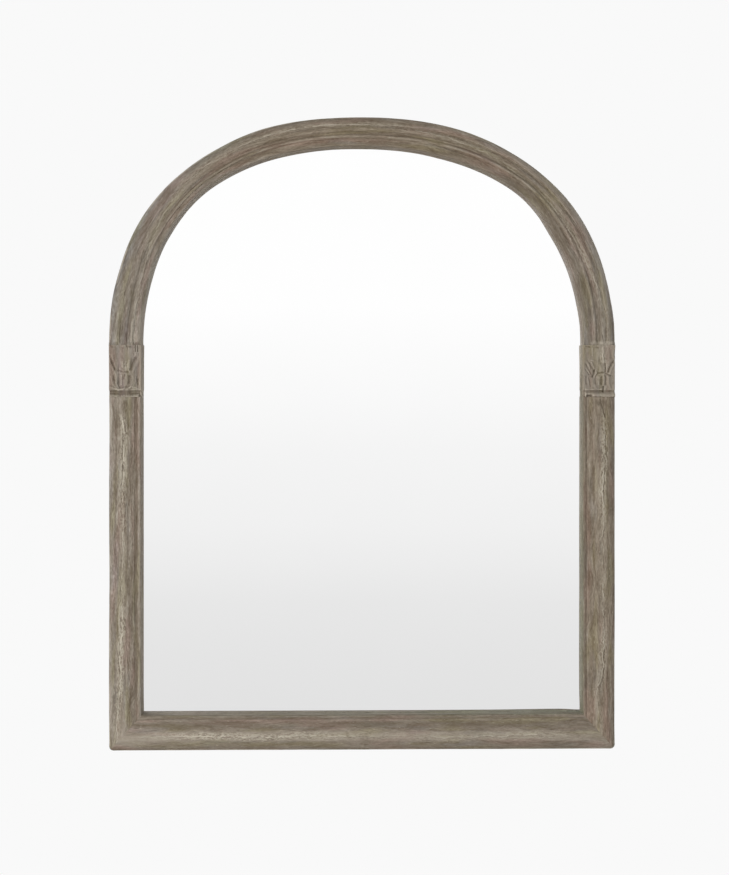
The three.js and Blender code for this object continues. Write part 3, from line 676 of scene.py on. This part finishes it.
rail_look = {
    "rough": 0.6,
    "glow": [(0, 0.1), (0.5, 0.45), (1, 0.8)],
    "figure": [
        (0, 0.4, 0, 0), (0.08, 0.43, 0.4, 0.1), (0.15, 0.42, 1, 0.3), (0.3, 0.4, 1, 0.4),
        (0.38, 0.44, 0.8, 0.4), (0.5, 0.42, 0.4, 0.2), (0.69, 0.4, 0.3, 0.2), (0.85, 0.43, 0.6, 0.3),
        (1, 0.4, 0, 0),
    ],
    "edges": [(0, 0, 0, 0), (0.6, 0, 0, 0), (0.8, 0, 0.4, 0), (1, 0, 1.8, 0)],
    "soft": [(0, 0.2)],
    "shades": [
        (0, 0.8, 0.4, -0.5, -0.6, -0.9, -0.6, -0.1, 0.3, 0.3, 0, 0.3, 0.3),
        (0.05, 0.9, 0.6, -0.2, -0.5, -0.9, -0.6, -0.1, 0.5, 0.5, -0.1, 0.4, 0.4),
        (0.1, 1, 0.8, 0.5, -0.2, -0.6, -0.6, 0.1, 0.8, 0.8, -0.2, 0.8, 0.5),
        (0.9, 1, 0.8, 0.5, -0.2, -0.6, -0.6, 0.1, 0.8, 0.8, -0.2, 0.8, 0.5),
        (0.95, 0.9, 0.6, 0, -0.3, -0.4, -0.1, 0.3, 0.5, 0.5, 0.2, 0.5, 0.5),
        (1, 0.8, 0.4, -0.3, -0.4, -0.5, -0.3, 0.1, 0.3, 0.3, 0.3, 0.3, 0.3),
    ],
    "cast": [(0, 0, 0.1, 0)],
}
arch_look = {
    "rough": 0.8,
    "glow": [(0, 0)],
    "figure": [
        (0, 0.72, 0.5, 0.1), (0.1, 0.7, 0.4, 0.1), (0.25, 0.3, 0.3, 0.1), (0.5, 0.26, 0.5, 0.1),
        (0.75, 0.6, 0.3, 0.1), (0.85, 0.58, 0.6, 0.2), (0.95, 0.34, 0.6, 0.3), (1, 0.34, 0.6, 0.3),
    ],
    "edges": [
        (0, -0.1, -1, 2), (0.04, -0.1, -0.5, 4), (0.07, 0.3, 0, 5), (0.1, 1, 0, 5), (0.13, 0, -1.3, 4.5),
        (0.16, -0.6, -2.8, 4.5), (0.19, -1, -3.4, 4), (0.22, -1, -3, 4), (0.25, -0.5, -1.8, 3.5),
        (0.31, -0.7, -1, 2.5), (0.34, -1.8, -0.8, 1), (0.37, -2.2, -0.3, 0.5), (0.4, -1.6, 0.3, 0),
        (0.46, -0.4, 0.3, 0), (0.52, -0.5, 0.8, 0), (0.58, -0.6, 1.8, -0.3), (0.61, -0.5, 2.7, -0.7),
        (0.64, -0.3, 2.5, -1), (0.7, 0.9, 1.5, -1), (0.76, 0.7, 0, -1.2), (0.79, 0.2, -0.3, -1.5),
        (0.82, 0.4, 1.3, -1.7), (0.86, 1.1, 2, -2), (0.91, 1.8, 1.5, -2), (0.94, 1.6, 0.8, -2.4),
        (0.97, -0.2, -1, -2), (1, -0.2, -1.2, -1.5),
    ],
    "soft": [
        (0, 1.4), (0.002, 1.3), (0.0045, 0.15), (0.02, 0.35), (0.05, 0.7), (0.18, 0.7), (0.36, 0.1),
        (0.6, 0.1), (0.8, 0.25), (0.95, 0.35), (0.98, 0.3), (0.9955, 0.15), (0.998, 1.3), (1, 1.4),
    ],
    "shades": [
        (0, 0.6, 0.2, 0.5, 0.2, 0.2, 0.2, 0.7, 0.9, 0.5, 0.5, -0.3, -1.5),
        (0.003, 0.6, 0.2, 0.4, 0.2, 0.2, 0.2, 0.6, 0.8, 0.2, 0, -0.5, -1.5),
        (0.005, 0.6, 0.2, -0.9, -0.1, 0.2, 0.5, -0.1, -1.2, -0.6, -1.2, -0.6, -1.5),
        (0.02, 0.4, 0.2, -0.4, -0.1, 0.2, 0.4, 0.2, -0.7, 0, -0.6, -0.4, -1.5),
        (0.08, 0, 0.4, 0.7, 0, 0.5, 0.2, 0.6, 0.2, 0.3, 0.3, 0.1, -0.6),
        (0.25, -0.3, 0.3, 0.6, 0, 0.3, 0.1, 0.7, 0.1, 0.4, 0.5, 0.1, -0.5),
        (0.5, 0.6, 0.7, 0.4, 0.1, 0.5, 0.4, 0.2, -0.2, -0.4, 0.3, 0.6, 1),
        (0.75, -0.2, -1, -0.7, 0.5, 0, 0.4, 0.7, 0.3, 0.3, 0.6, 0.7, 0.9),
        (0.93, -0.2, -1, -0.5, 0.3, -0.2, 0.4, -0.2, 0.3, 0.4, 0.5, 0.8, 0.8),
        (0.98, 0.3, 0.3, -0.4, 0.3, -0.4, 0.5, 0, -0.5, 0.4, 0, 0.1, 0.4),
        (0.995, 0.3, 0.3, -0.5, 0.3, -0.5, 0.5, 0.2, -0.6, 0.4, 0, 0, 0.4),
        # These two rows: painted highlights along the foot of the arch, partly pale wear
        (0.9965, -1.6, -1.6, -3.5, -0.5, -2.5, -3.5, -1.6, -2.8, -0.8, -0.5, 0, 0.4),
        (0.999, -1.6, -1.6, -3.5, -0.5, -2.5, -3.5, -1.6, -2.8, -0.8, -0.5, 0, 0.4),
        (1, 0, 0, 0, 0.4, 0, 0.4, 0.2, 0, 0.2, 0, 0, 0.4),
    ],
    "cast": [
        (0, 0, 0.9, 0.5), (0.1, 0, 1, 0.3), (0.25, 0.2, 1, 0), (0.38, 0.9, 0.5, 0), (0.6, 1, 0.4, 0),
        (0.75, 0.6, 0.8, 0), (0.9, 0.2, 1, 0.15), (1, 0.2, 0.9, 0.2),
    ],
}

stile_shape = dense_profile(stile_profile, stile_width)
rail_shape = dense_profile(stile_profile, rail_width)


def make_stile(name, side, seed, look):
    """A stile, with a flat cut into its top for the capital"""
    edge = seat_bevel_reach / seat_start
    low_rows = [*np.linspace(0, 1, round(seat_start / along_step))[:-1], 1 - edge, 1 - edge / 3, 1]
    high_rows = np.linspace(seat_start + sliver, spring_height, round(capital_height / (3 * along_step)))
    count = len(low_rows)

    def place(along, u, h, wander):
        w = u * stile_width + wander
        end = mitre_end(u * stile_width, stile_width, rail_width / stile_width)
        low, low_h, high_h = along[:count], h[:count], np.minimum(h[count:], seat_height - sliver)
        low_z = end + low / seat_start * (seat_start - end)
        low_w = w[:count] + corner_inset(low_z) * (1 - u) ** 2
        bevel = seat_bevel * np.clip(1 - (seat_start - low) / seat_bevel_reach, 0, 1) ** 2
        low_h = np.where(low_h > seat_height, low_h - bevel, low_h)
        x = np.concatenate([low_w, w[count:]]) - overall_width / 2
        z = np.concatenate([low_z, np.broadcast_to(along[count:], high_h.shape)])
        return at(side * -x, np.concatenate([low_h, high_h]), z), z

    stations = [*np.multiply(low_rows, seat_start), *high_rows]
    member(name, stile_shape, stile_width, stations, place, seed, look, (0, glued), turns=True)


def rail_place(along, u, h, wander):
    w = u * rail_width + wander
    end = mitre_end(u * rail_width, rail_width, stile_width / rail_width)
    x = end + along / overall_width * (overall_width - 2 * end)
    z = w + corner_inset(np.minimum(x, overall_width - x)) * (1 - u) ** 2
    return at(x - overall_width / 2, h, z), x


make_stile("stile_left", -1, 3, left_look)
make_stile("stile_right", 1, 23, right_look)
rail_stations = np.linspace(0, overall_width, round(overall_width / along_step))
member("bottom_rail", rail_shape, rail_width, rail_stations, rail_place, 43, rail_look, (0, 0), turns=True)

# The arch: the outer edge is a superellipse, cut by its length
turn_step = 0.0002
edge_samples = 4001
edge_turn = np.linspace(0, 1, edge_samples)


def edge_point(t):
    angle = np.pi * (1 - t)
    c, s = np.cos(angle), np.maximum(0, np.sin(angle))
    x = np.sign(c) * np.abs(c) ** (2 / arch_fullness) * overall_width / 2
    return x, spring_height + (overall_height - spring_height) * s ** (2 / arch_fullness)


edge_steps = np.hypot(*np.diff(edge_point(edge_turn)))
edge_length = np.concatenate([[0], np.cumsum(edge_steps)])
arch_length = edge_length[-1]
arch_shape = dense_profile(arch_profile, stile_width)


def arch_place(along, u, h, wander):
    t = np.interp(along, edge_length, edge_turn)
    x, z = edge_point(t)
    before, after = (np.stack(edge_point(np.clip(t + step, 0, 1))) for step in (-turn_step, turn_step))
    way = np.where(t < turn_step, np.reshape((0, 1), (2, 1, 1)), after - before)
    way = np.where(t > 1 - turn_step, np.reshape((0, -1), (2, 1, 1)), way)
    way = way / np.hypot(*way)
    blend = smoothstep(*blend_shares, np.minimum(along, arch_length - along) / arch_length)
    w = u * (stile_width + (crown_width - stile_width) * blend) + wander
    return at(x + way[1] * w, h, z - way[0] * w), np.broadcast_to(along, w.shape)


arch_cuts = [0, crown_joint_share, 1 - crown_joint_share, 1]
for name, *span in zip(["arch_haunch_left", "arch_crown", "arch_haunch_right"], arch_cuts, arch_cuts[1:]):
    start, end = np.multiply(span, arch_length)
    stations = np.linspace(start, end, round((end - start) / along_step))
    member(name, arch_shape, stile_width, stations, arch_place, 63, arch_look, (glued, glued), span=span)

# The capitals: a carved front, kept as heights over a fine grid. The rows give its body's height, in
# the middle and at the sides, as shares of the moulding's height over the seat.
capital_rows = [
    (0, 0.2, 0.18), (0.03, 0.16, 0.14), (0.105, 0.2, 0.16), (0.14, 0.6, 0.55), (0.3, 0.56, 0.54),
    (0.45, 0.58, 0.54), (0.62, 0.66, 0.6), (0.75, 0.74, 0.68), (0.9, 0.85, 0.8), (0.955, 0.87, 0.82),
    (0.975, 0.93, 0.88), (1, 0.95, 0.9),
]

# Strokes of the carver: half width and height in millimetres, then the way it runs, in hundredths of the
# capital's width from the outer edge and of its height from the bottom
left_strokes = [
    (1.3, -1.3, (2, 78), (9, 67), (18, 53)),
    (1.2, 0.5, (10, 80), (21, 55)),
    (2.4, -0.5, (25, 76), (30, 72)),
    (1.6, 0.8, (3, 65), (18, 48)),
    (2, -1.6, (83, 74), (75, 65), (68, 53)),
    (1.2, 0.5, (64, 70), (62, 49)),
    (2.2, 0.7, (89, 67), (75, 50)),
    (1.8, 0.9, (45, 67), (45, 57)),
    (1, 0.6, (53, 67), (53, 64)),
    (1.1, -0.9, (28, 51), (44, 48), (59, 49)),
    (1.2, 0.7, (39, 41), (39, 24)),
    (1.1, 0.6, (75, 40), (76, 28), (66, 17)),
    (0.9, 0.5, (83, 38), (83, 30), (75, 18)),
    (1.1, 0.6, (6, 40), (11, 26), (25, 17)),
    (1.2, 0.5, (22, 45), (23, 26), (31, 18)),
    (1.1, 0.5, (53, 45), (56, 24)),
    (1, -0.9, (14, 42), (14, 32)),
    (0.9, -0.7, (31, 43), (31, 22), (34, 18)),
    (1, -0.8, (48, 43), (47, 35)),
    (1.4, -1.2, (63, 40), (63, 27)),
    (1.2, -1.1, (90, 34), (91, 24)),
    (1.3, 0.9, (2, 19), (19, 16), (31, 13), (47, 16), (58, 16), (72, 19), (87, 17)),
    (3, 2.2, (30, 11), (56, 11)),
    (1.3, 3, (97, 0), (3, 0)),
    (1.5, 2.6, (97, 3), (3, 3)),
    (1.5, -1.2, (5, 98), (11, 97)),
    (1.6, -1.1, (56, 98), (68, 97)),
    (0.7, -0.9, (82, 99), (82, 88)),
    (0.7, -0.9, (89, 99), (89, 88)),
]
right_strokes = [
    (1, -0.8, (93, 98), (79, 96)),
    (1.2, -0.8, (58, 96), (54, 95)),
    (2.2, -0.8, (84, 84), (85, 73)),
    (2.4, -0.8, (13, 89), (13, 77)),
    (1, 0.6, (38, 98), (38, 72)),
    (0.9, 0.5, (5, 90), (4, 76)),
    (0.9, 0.5, (72, 94), (72, 80)),
    (1.8, -0.7, (47, 71), (43, 66)),
    (1, 0.6, (75, 71), (62, 69)),
    (1.2, -1.2, (2, 90), (1, 80)),
    (1.1, -0.9, (86, 70), (64, 50)),
    (1.2, 0.8, (74, 66), (59, 47)),
    (1.1, -1.5, (63, 52), (70, 39)),
    (0.9, -0.8, (91, 63), (75, 44)),
    (0.8, -0.7, (93, 53), (81, 43)),
    (1.3, -1.4, (0, 71), (9, 66), (20, 49)),
    (1.5, 0.7, (5, 63), (16, 46)),
    (2.6, 1, (44, 59), (44, 52)),
    (0.9, -1.2, (30, 64), (30, 48)),
    (0.9, 0.7, (25, 63), (25, 47)),
    (1, -1.2, (60, 40), (51, 46), (35, 47)),
    (1, -1, (27, 45), (13, 41)),
    (1.2, 0.6, (51, 38), (51, 25)),
    (1.2, 0.8, (35, 43), (36, 23)),
    (1.2, 0.7, (20, 38), (20, 27), (14, 15)),
    (1.2, 0.5, (72, 36), (69, 26), (59, 17)),
    (1.2, -1, (91, 38), (90, 26)),
    (1, -0.9, (42, 38), (42, 24)),
    (0.9, -0.7, (81, 36), (76, 22)),
    (0.9, -0.7, (61, 38), (60, 26)),
    (0.9, -0.8, (28, 40), (28, 24)),
    (0.9, -1.5, (36, 20), (36, 10)),
    (1.3, 0.8, (42, 15), (42, 15)),
    (1.3, 0.8, (30, 15), (30, 15)),
    (1.3, 0.8, (18, 15), (18, 15)),
    (1.2, 0.7, (93, 15), (62, 14), (44, 15)),
    (3.4, 5.2, (88, 2), (3, 2)),
    (2.4, 1.6, (88, 7), (3, 7)),
    (2.2, -4.6, (85, 2), (77, 2)),
    (1, -1, (66, 0), (60, 0)),
]
# The grid that the carving is cut in, the blurs that round it and find its hollows for painted shade, and
# how rough it is
carving_step = 0.42 * mm
leaf_reach, least_leaf = moulding_height + capital_proud - seat_height, 1 * mm
body_cells = 2
near_cells, near_depth = 3, 0.7 * mm
far_cells, far_depth = 9, 2.2 * mm
hand_wobble, body_wave = 0.5 * mm, 0.4 * mm
side_chamfer, chamfer_reach = 0.8 * mm, 0.7 * mm
edge_gap, skirt_grain_shift = 0.4 * mm, 5 * mm
least_run = 1e-12
cut_gain, ridge_gain, stroke_spread, cut_roundness = 1.75, 1.6, 1.35, 1.6


def box_blur(field, cells):
    kernel = np.ones(2 * cells + 1) / (2 * cells + 1)

    def one_way(rows):
        padded = np.pad(rows, ((0, 0), (cells, cells)), mode="edge")
        return np.stack([np.convolve(row, kernel, mode="valid") for row in padded])

    return one_way(one_way(field).T).T


def stroke_heights(x, y, stroke):
    """What one stroke adds, by the distance of each grid point from the line that it runs along"""
    half, height, *way = stroke
    way = np.array(way) / 100 * (stile_width, capital_height)
    nearest = np.full(x.shape, np.inf)
    for start, end in zip(way[:-1], way[1:]):
        run = end - start
        share = ((x - start[0]) * run[0] + (y - start[1]) * run[1]) / max(run @ run, least_run)
        share = np.clip(share, 0, 1)
        away = np.hypot(x - start[0] - share * run[0], y - start[1] - share * run[1])
        nearest = np.minimum(nearest, away)
    spread = nearest / (stroke_spread * half * mm)
    if height < 0:
        return cut_gain * height * mm * np.exp(-(spread**cut_roundness))
    return ridge_gain * height * mm * hump(spread, 1)


def capital_heights(u, v, strokes, seed):
    middle, side = along_table(capital_rows, v)
    bulge = np.sqrt(np.sin(np.pi * smoothstep(0.04, 0.96, u)))
    heights = box_blur((moulding_height - seat_height) * (side + (middle - side) * bulge), body_cells)
    wave = noise(u * 11, 0 * v, seed + 9)
    heights = heights + body_wave * wave * smoothstep(0.5, 0.7, v) * (1 - smoothstep(0.93, 0.97, v))
    x = u * stile_width + hand_wobble * noise(u * 6, v * 9, seed + 5)
    y = v * capital_height + hand_wobble * noise(u * 6, v * 9, seed + 6)
    for stroke in strokes:
        heights = heights + stroke_heights(x, y, stroke)
    flat = (moulding_height - seat_height) * side
    return heights + (flat - heights) * smoothstep(0.91, 0.95, u)


def make_capital(name, side, strokes, seed, look):
    columns, rows = round(stile_width / carving_step) + 1, round(capital_height / carving_step) + 1
    u, v = np.meshgrid(np.linspace(0, 1, columns), np.linspace(0, 1, rows))
    tool = 0.2 * noise(u * 12, v * 7, seed) + 0.12 * noise(u * 30, v * 18, seed + 1)
    pits = smoothstep(0.5, 0.85, noise(u * 17, v * 15, seed + 3))
    heights = capital_heights(u, v, strokes, seed) + (tool - 0.5 * pits - 0.2) * mm
    chamfer = side_chamfer * hump(np.minimum(u, 1 - u) * stile_width, chamfer_reach)
    heights = np.clip(heights - chamfer, least_leaf, leaf_reach)

    # Painted shade in the carving's hollows and in the neck, with soil patches, and painted light on the
    # lip, on the inner wall and, partly as pale wear, on the ridges
    near = np.clip((box_blur(heights, near_cells) - heights) / near_depth, -1, 1)
    far = np.clip((box_blur(heights, far_cells) - heights) / far_depth, -1, 1)
    lip_light = smoothstep(0.065, 0.045, v)
    neck = smoothstep(0.13, 0.07, v) * (1 - lip_light)
    patches = 0.35 * noise(u * 4, v * 7, seed + 11)
    shade_and_soil = 0.8 * near + 0.75 * far + patches + look["shade"] + look["neck"] * neck - 0.2 * lip_light
    shade_and_soil = np.clip(shade_and_soil, -1, 1)
    shade_and_soil = shade_and_soil + (look["wall"] - shade_and_soil) * smoothstep(0.94, 0.98, u)
    crest_highlight_and_wear = np.clip(-2.6 * near - 0.3, 0, 1)

    x = u * (stile_width - edge_gap) + edge_gap - overall_width / 2
    front = at(side * -x, seat_height + heights, v * capital_height + seat_start).reshape(-1, 3)
    grid = np.arange(u.size).reshape(u.shape)
    rim = np.concatenate([grid[0], grid[1:, -1], grid[-1, -2::-1], grid[-2:0:-1, 0]])
    foot = front[rim].copy()
    foot[:, 1] = back_plane_y - seat_height
    feet = len(front) + np.arange(len(rim))
    quads = np.stack([grid[:-1, :-1], grid[:-1, 1:], grid[1:, 1:], grid[1:, :-1]], -1).reshape(-1, 4)
    skirt = np.stack([np.roll(rim, -1), rim, feet, np.roll(feet, -1)], -1)

    grain = stacked(v * capital_height + seed * grain_per_seed, u * stile_width, 0)
    form = stacked(shade_and_soil, 0.35, 0)
    centre, middle, reach = look["figure"]
    pale = hump(v - middle, reach)
    figure = stacked((u - centre) * stile_width, 0.9 * pale, 0.5 * pale)
    cast = stacked(0.3, look["haze"], crest_highlight_and_wear)
    attributes = {
        "grain": np.concatenate([grain, grain[rim] + (0, skirt_grain_shift, 0)]),
        "form": np.concatenate([form, form[rim] * (0, 1, 0) + (look["wall"], 0, 0)]),
        "figure": np.concatenate([figure, figure[rim] * (1, 0, 0)]),
        "cast": np.concatenate([cast, cast[rim] * (1, 1, 0)]),
    }
    faces = np.concatenate([quads, skirt])
    piece = mesh_object(name, np.concatenate([front, foot]), faces, [feet], attributes, carving_sharp_angle)
    dress(piece, name, "frame", wood)


# shade: painted shade all over, light where negative. The neck's value: painted shade in the neck band,
# light where negative. The wall's value: painted light on the inner wall, as the mirror throws it there.
left_capital_look = {"shade": -0.15, "neck": 0.4, "haze": 0.3, "wall": -1.3, "figure": (0.46, 0.6, 0.1)}
right_capital_look = {"shade": -0.6, "neck": -0.5, "haze": 0.1, "wall": -0.3, "figure": (0.36, 0.8, 0.25)}
make_capital("capital_left", -1, left_strokes, 133, left_capital_look)
make_capital("capital_right", 1, right_strokes, 153, right_capital_look)

# The metal and rubber on the back, turned and swept from sections of radius and height in millimetres
round_steps = 72
recess_rings, recess_middle = 22, 0.05
recess_reach, recess_width, recess_depth = 1.9 * mm, 0.5 * mm, 1.2 * mm
shank_radius, tip_radius, tip_length = 1.75, 0.2, 3
pan_head = [(shank_radius, 0), (3.3, 0), (3.5, 0.15), (3.5, 0.9), (3.35, 1.5), (3, 1.9), (2.4, 2.2)]
flat_head = [(shank_radius, -1.9), (3.2, -0.25), (3.3, -0.12), (3.2, 0), (2.4, 0)]
screw_sink = [(2.05, -4), (2.05, -2.2), (3.6, 0), (3.6, 1)]
bumper_turning = [
    (7.2, 0), (7.8, 0.2), (8, 0.7), (7.85, 1.5), (7.1, 5), (6.9, 5.6), (6.4, 5.95), (5.6, 6), (3.5, 5.7),
    (1, 5.6), (0.1, 5.6),
]


def turned(rows, x, y, z, recess=0):
    """Rings round an axis that runs along Y, for rows of radius and height, with a cross recess on top"""
    angle = circle(round_steps)
    radius, height = (np.array(rows).T * mm)[:, :, None]
    across, up = radius * np.cos(angle), radius * np.sin(angle)
    arms = [
        smoothstep(1.2, 0.8, np.abs(a) / recess_width) * smoothstep(1, 0.85, np.abs(b) / recess_reach)
        for a, b in ((across, up), (up, across))
    ]
    drop = recess * np.maximum(*arms) * (height >= height[-1])
    return np.stack([x + across, y + height - drop, z + up], -1)


def make_turned(name, rows, level, material, recess=0):
    """A turned piece round the middle of its node, from a level up"""
    lo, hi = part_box(name)
    rings = turned(rows, (lo[0] + hi[0]) / 2, level, (lo[2] + hi[2]) / 2, recess)
    dress(lofted(name, rings), name, "frame", material)


def make_screw(name, head, face):
    """A cross-head screw. face is the level of its head's underside or, countersunk, of its top"""
    tip = (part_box(name)[0][1] - face) / mm
    radius, height = head[-1]
    top = [(r, height) for r in np.linspace(radius, recess_middle, recess_rings)[1:]]
    rows = [(tip_radius, tip), (shank_radius, tip + tip_length), *head, *top]
    make_turned(name, rows, face, steel, recess_depth)


ring_wire = 3 * mm
ring_half, ring_leg, ring_corner = 12.5 * mm, 5 * mm, 3.5 * mm
strip, strip_edge, strip_nick = 1.1 * mm, 0.35 * mm, 0.1 * mm
fit_gap = 0.3 * mm
strap_half, strap_length = 7 * mm, 50 * mm
bore, bore_reach = ring_wire / 2 + fit_gap, 9 * mm
barrel = bore + strip
strap_face = 2 * strip - barrel
hanger_x = overall_width / 2 - (stile_width - board_lap) / 2
ring_axis_y = back_plane_y + fit_gap + barrel
ring_axis_z = spring_height - 28 * mm
hanger_screw_drops = (13 * mm, 38 * mm)
strap_steps, fold_steps, bore_steps = 49, 60, 48
wire_steps, flat_steps, corner_steps, leg_steps, bow_steps = 24, 24, 16, 4, 96


def cut_by(piece, cutters):
    """Takes the cutters away from the piece"""
    for cutter in cutters:
        boolean = piece.modifiers.new("cut", "BOOLEAN")
        boolean.operation = "DIFFERENCE"
        boolean.solver = "EXACT"
        boolean.object = cutter
    bpy.context.view_layer.update()
    seen = piece.evaluated_get(bpy.context.evaluated_depsgraph_get())
    piece.data = bpy.data.meshes.new_from_object(seen)
    piece.modifiers.clear()
    for cutter in cutters:
        bpy.data.objects.remove(cutter)
    piece.data.shade_smooth()
    piece.data.set_sharp_from_angle(angle=math.radians(metal_sharp_angle))


def make_strap(name, side):
    """A strip folded round the ring and laid double, with a round tail and two countersunk holes"""
    x = strap_half * np.sin(np.linspace(-np.pi / 2, np.pi / 2, strap_steps))
    edge = np.clip((np.abs(x) - strap_half + strip_edge) / strip_edge, 0, 1)
    shrink = strip_edge * (1 - np.sqrt(1 - edge**2))
    tail = -strap_length + strap_half - np.sqrt(np.maximum(0, strap_half**2 - x**2))
    fold_turn = np.linspace(-np.pi / 2, np.pi + math.asin(-strap_face / barrel), fold_steps)
    rings = []
    for across, s, end in zip(x, shrink, tail):
        fold = [((barrel - s) * math.cos(a), (barrel - s) * math.sin(a)) for a in fold_turn]
        top = strap_face - s
        outline = [(end, s - barrel), (end / 2, s - barrel), *fold[:-1], (fold[-1][0], top), (end / 2, top)]
        outline += [(end + strip_edge, top), (end + strip_nick, top - strip_nick), (end, top - strip_edge)]
        rings.append([(side * hanger_x + across, ring_axis_y + h, ring_axis_z + up) for up, h in outline])
    piece = lofted(name, np.array(rings))

    turn = circle(bore_steps)
    bore_x = side * hanger_x + np.array([[-bore_reach], [bore_reach]])
    tunnel = (bore_x, ring_axis_y + bore * np.sin(turn), ring_axis_z + bore * np.cos(turn))
    cutters = [lofted("bore", np.stack(np.broadcast_arrays(*tunnel), -1))]
    for drop in hanger_screw_drops:
        sink = turned(screw_sink, side * hanger_x, ring_axis_y + strap_face, ring_axis_z - drop)
        cutters.append(lofted("sink", sink))
    cut_by(piece, cutters)
    dress(piece, name, "frame", steel)


def ring_way():
    """Points along the ring's wire from the middle of its straight side, as across and down"""
    flat, r = ring_half - ring_corner, ring_corner
    quarter = np.linspace(0, np.pi / 2, corner_steps)
    leg = np.linspace(r, ring_leg, leg_steps)[1:-1]
    way = [(s, 0) for s in np.linspace(-flat, flat, flat_steps)[1:]]
    way += [(flat + r * math.sin(a), r - r * math.cos(a)) for a in quarter[1:]]
    way += [(ring_half, down) for down in leg]
    bow = np.linspace(0, np.pi, bow_steps)
    way += [(ring_half * math.cos(a), ring_leg + ring_half * math.sin(a)) for a in bow]
    way += [(-ring_half, down) for down in leg[::-1]]
    way += [(-flat - r * math.cos(a), r - r * math.sin(a)) for a in quarter]
    return np.array(way)


def make_ring(name, side, body):
    """A ring of wire that hangs against its strap"""
    way = ring_way()
    run = np.roll(way, -1, 0) - np.roll(way, 1, 0)
    run /= np.hypot(*run.T)[:, None]
    r = ring_wire / 2
    tilt = math.asin((r + fit_gap + strap_face) / (ring_leg + ring_half))
    turn = circle(wire_steps)
    across = way[:, :1] - run[:, 1:] * r * np.cos(turn)
    down = way[:, 1:] + run[:, :1] * r * np.cos(turn)
    out = r * np.sin(turn)
    y = out * math.cos(tilt) + down * math.sin(tilt)
    z = out * math.sin(tilt) - down * math.cos(tilt)
    points = stacked(side * hanger_x + across, ring_axis_y + y, ring_axis_z + z)
    quads = tube_faces(len(way), wire_steps, closed=True)
    dress(mesh_object(name, points, quads, [], {}, ring_sharp_angle), name, body, steel)


for side_name, side in (("left", -1), ("right", 1)):
    make_strap(f"hanger_strap_{side_name}", side)
    make_ring(f"hanger_ring_{side_name}", side, f"ring_{side_name}")
    for number in (1, 2):
        make_screw(f"hanger_screw_{number}_{side_name}", flat_head, ring_axis_y + strap_face)
    name = f"wall_bumper_{side_name}"
    make_turned(name, bumper_turning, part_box(name)[0][1], rubber)
for name in sorted(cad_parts):
    if name.startswith("board_screw"):
        make_screw(name, pan_head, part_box(name)[1][1] - pan_head[-1][1] * mm)

# The nodes that keep their shape get their finish
finish_of = {
    "mirror_glass": silver,
    "backing_board": fibreboard,
    "spring_dowel": beech,
    "crown_dowel": beech,
    "mitre_biscuit": beech,
    "glass_pad": rubber,
}
for node_name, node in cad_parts.items():
    for start, material in finish_of.items():
        if node_name.startswith(start):
            for place in node.material_slots:
                place.material = material

# Camera, light and floor
eye = bpy.data.cameras.new("camera")
eye.sensor_fit = "VERTICAL"
eye.sensor_height = sensor_height
eye.lens = sensor_height * focal_pixels / picture_height
eye.shift_y = shift_pixels / picture_height
camera = placed("camera", eye)
camera.location = camera_place
camera.rotation_euler = (math.pi / 2, 0, -camera_yaw)
bpy.context.scene.camera = camera

lamp_size = 1.3
lamp_target = Vector((0, 0, 0.5))


def lamp(name, place, power):
    light = bpy.data.lights.new(name, "AREA")
    light.size = lamp_size
    light.energy = power
    made = placed(name, light)
    made.location = place
    made.rotation_euler = (lamp_target - Vector(place)).to_track_quat("-Z", "Y").to_euler()
    return made


lamp("key_light", (-2, -2.8, 0.6), 66)
lamp("back_light", (1.6, 2.9, 1.4), 55).visible_camera = False

# A plain pale room: its light, what the camera sees of it, and what the glass mirrors, by the way's rise
background_colour = srgb(249, 249, 249)
room_strength = 0.46
ramp_low, ramp_high = -0.2, 0.1
mirror_steps = [
    (-0.197, 227), (-0.1665, 229), (-0.136, 232), (-0.113, 237), (-0.09, 241), (-0.0436, 245),
    (-0.0136, 249), (0.0175, 252), (0.045, 255), (0.08, 255),
]
stops = [
    ((rise - ramp_low) / (ramp_high - ramp_low), srgb(level, level, level))
    for rise, level in mirror_steps
]
world = bpy.data.worlds.new("studio")
bpy.context.scene.world = world
sky = Tree(world)
sky.nodes.clear()
ray = sky.node("LightPath").outputs
rise = sky.parts(sky.node("TexCoord").outputs["Generated"])[2]
mirrored = sky.ramp(sky.range(rise, ramp_low, ramp_high, kind="LINEAR"), stops)
room, seen, mirrored = (
    sky.node("Background", {"Color": colour, "Strength": strength}).outputs[0]
    for colour, strength in (((1, 1, 1, 1), room_strength), (background_colour, 1), (mirrored, 1))
)
lit = sky.node("MixShader", {0: ray["Is Glossy Ray"], 1: room, 2: mirrored}).outputs[0]
seen_or_lit = sky.node("MixShader", {0: ray["Is Camera Ray"], 1: lit, 2: seen}).outputs[0]
sky.node("OutputWorld", {"Surface": seen_or_lit})

floor_level, floor_reach, floor_sides = -0.9, 2.2, 96
floor_glow_share, floor_roughness = 0.75, 0.9
floor_mesh = bpy.data.meshes.new("floor")
rim = [(floor_reach * math.cos(a), floor_reach * math.sin(a), floor_level) for a in circle(floor_sides)]
floor_mesh.from_pydata(rim, [], [range(floor_sides)])
floor = placed("floor", floor_mesh)
floor_material = bpy.data.materials.new("pale_floor")
t = Tree(floor_material)
plain = t.nodes["Principled BSDF"]
plain.inputs["Base Color"].default_value = srgb(236, 236, 236)
plain.inputs["Roughness"].default_value = floor_roughness
glow = t.node("Emission", {"Color": background_colour, "Strength": 1}).outputs[0]
share = t.maths("MULTIPLY", t.node("LightPath").outputs["Is Camera Ray"], floor_glow_share)
mixed = t.node("MixShader", {0: share, 1: plain.outputs[0], 2: glow}).outputs[0]
t.links.new(mixed, t.nodes["Material Output"].inputs["Surface"])
floor_mesh.materials.append(floor_material)

bpy.context.scene.view_settings.view_transform = "Standard"
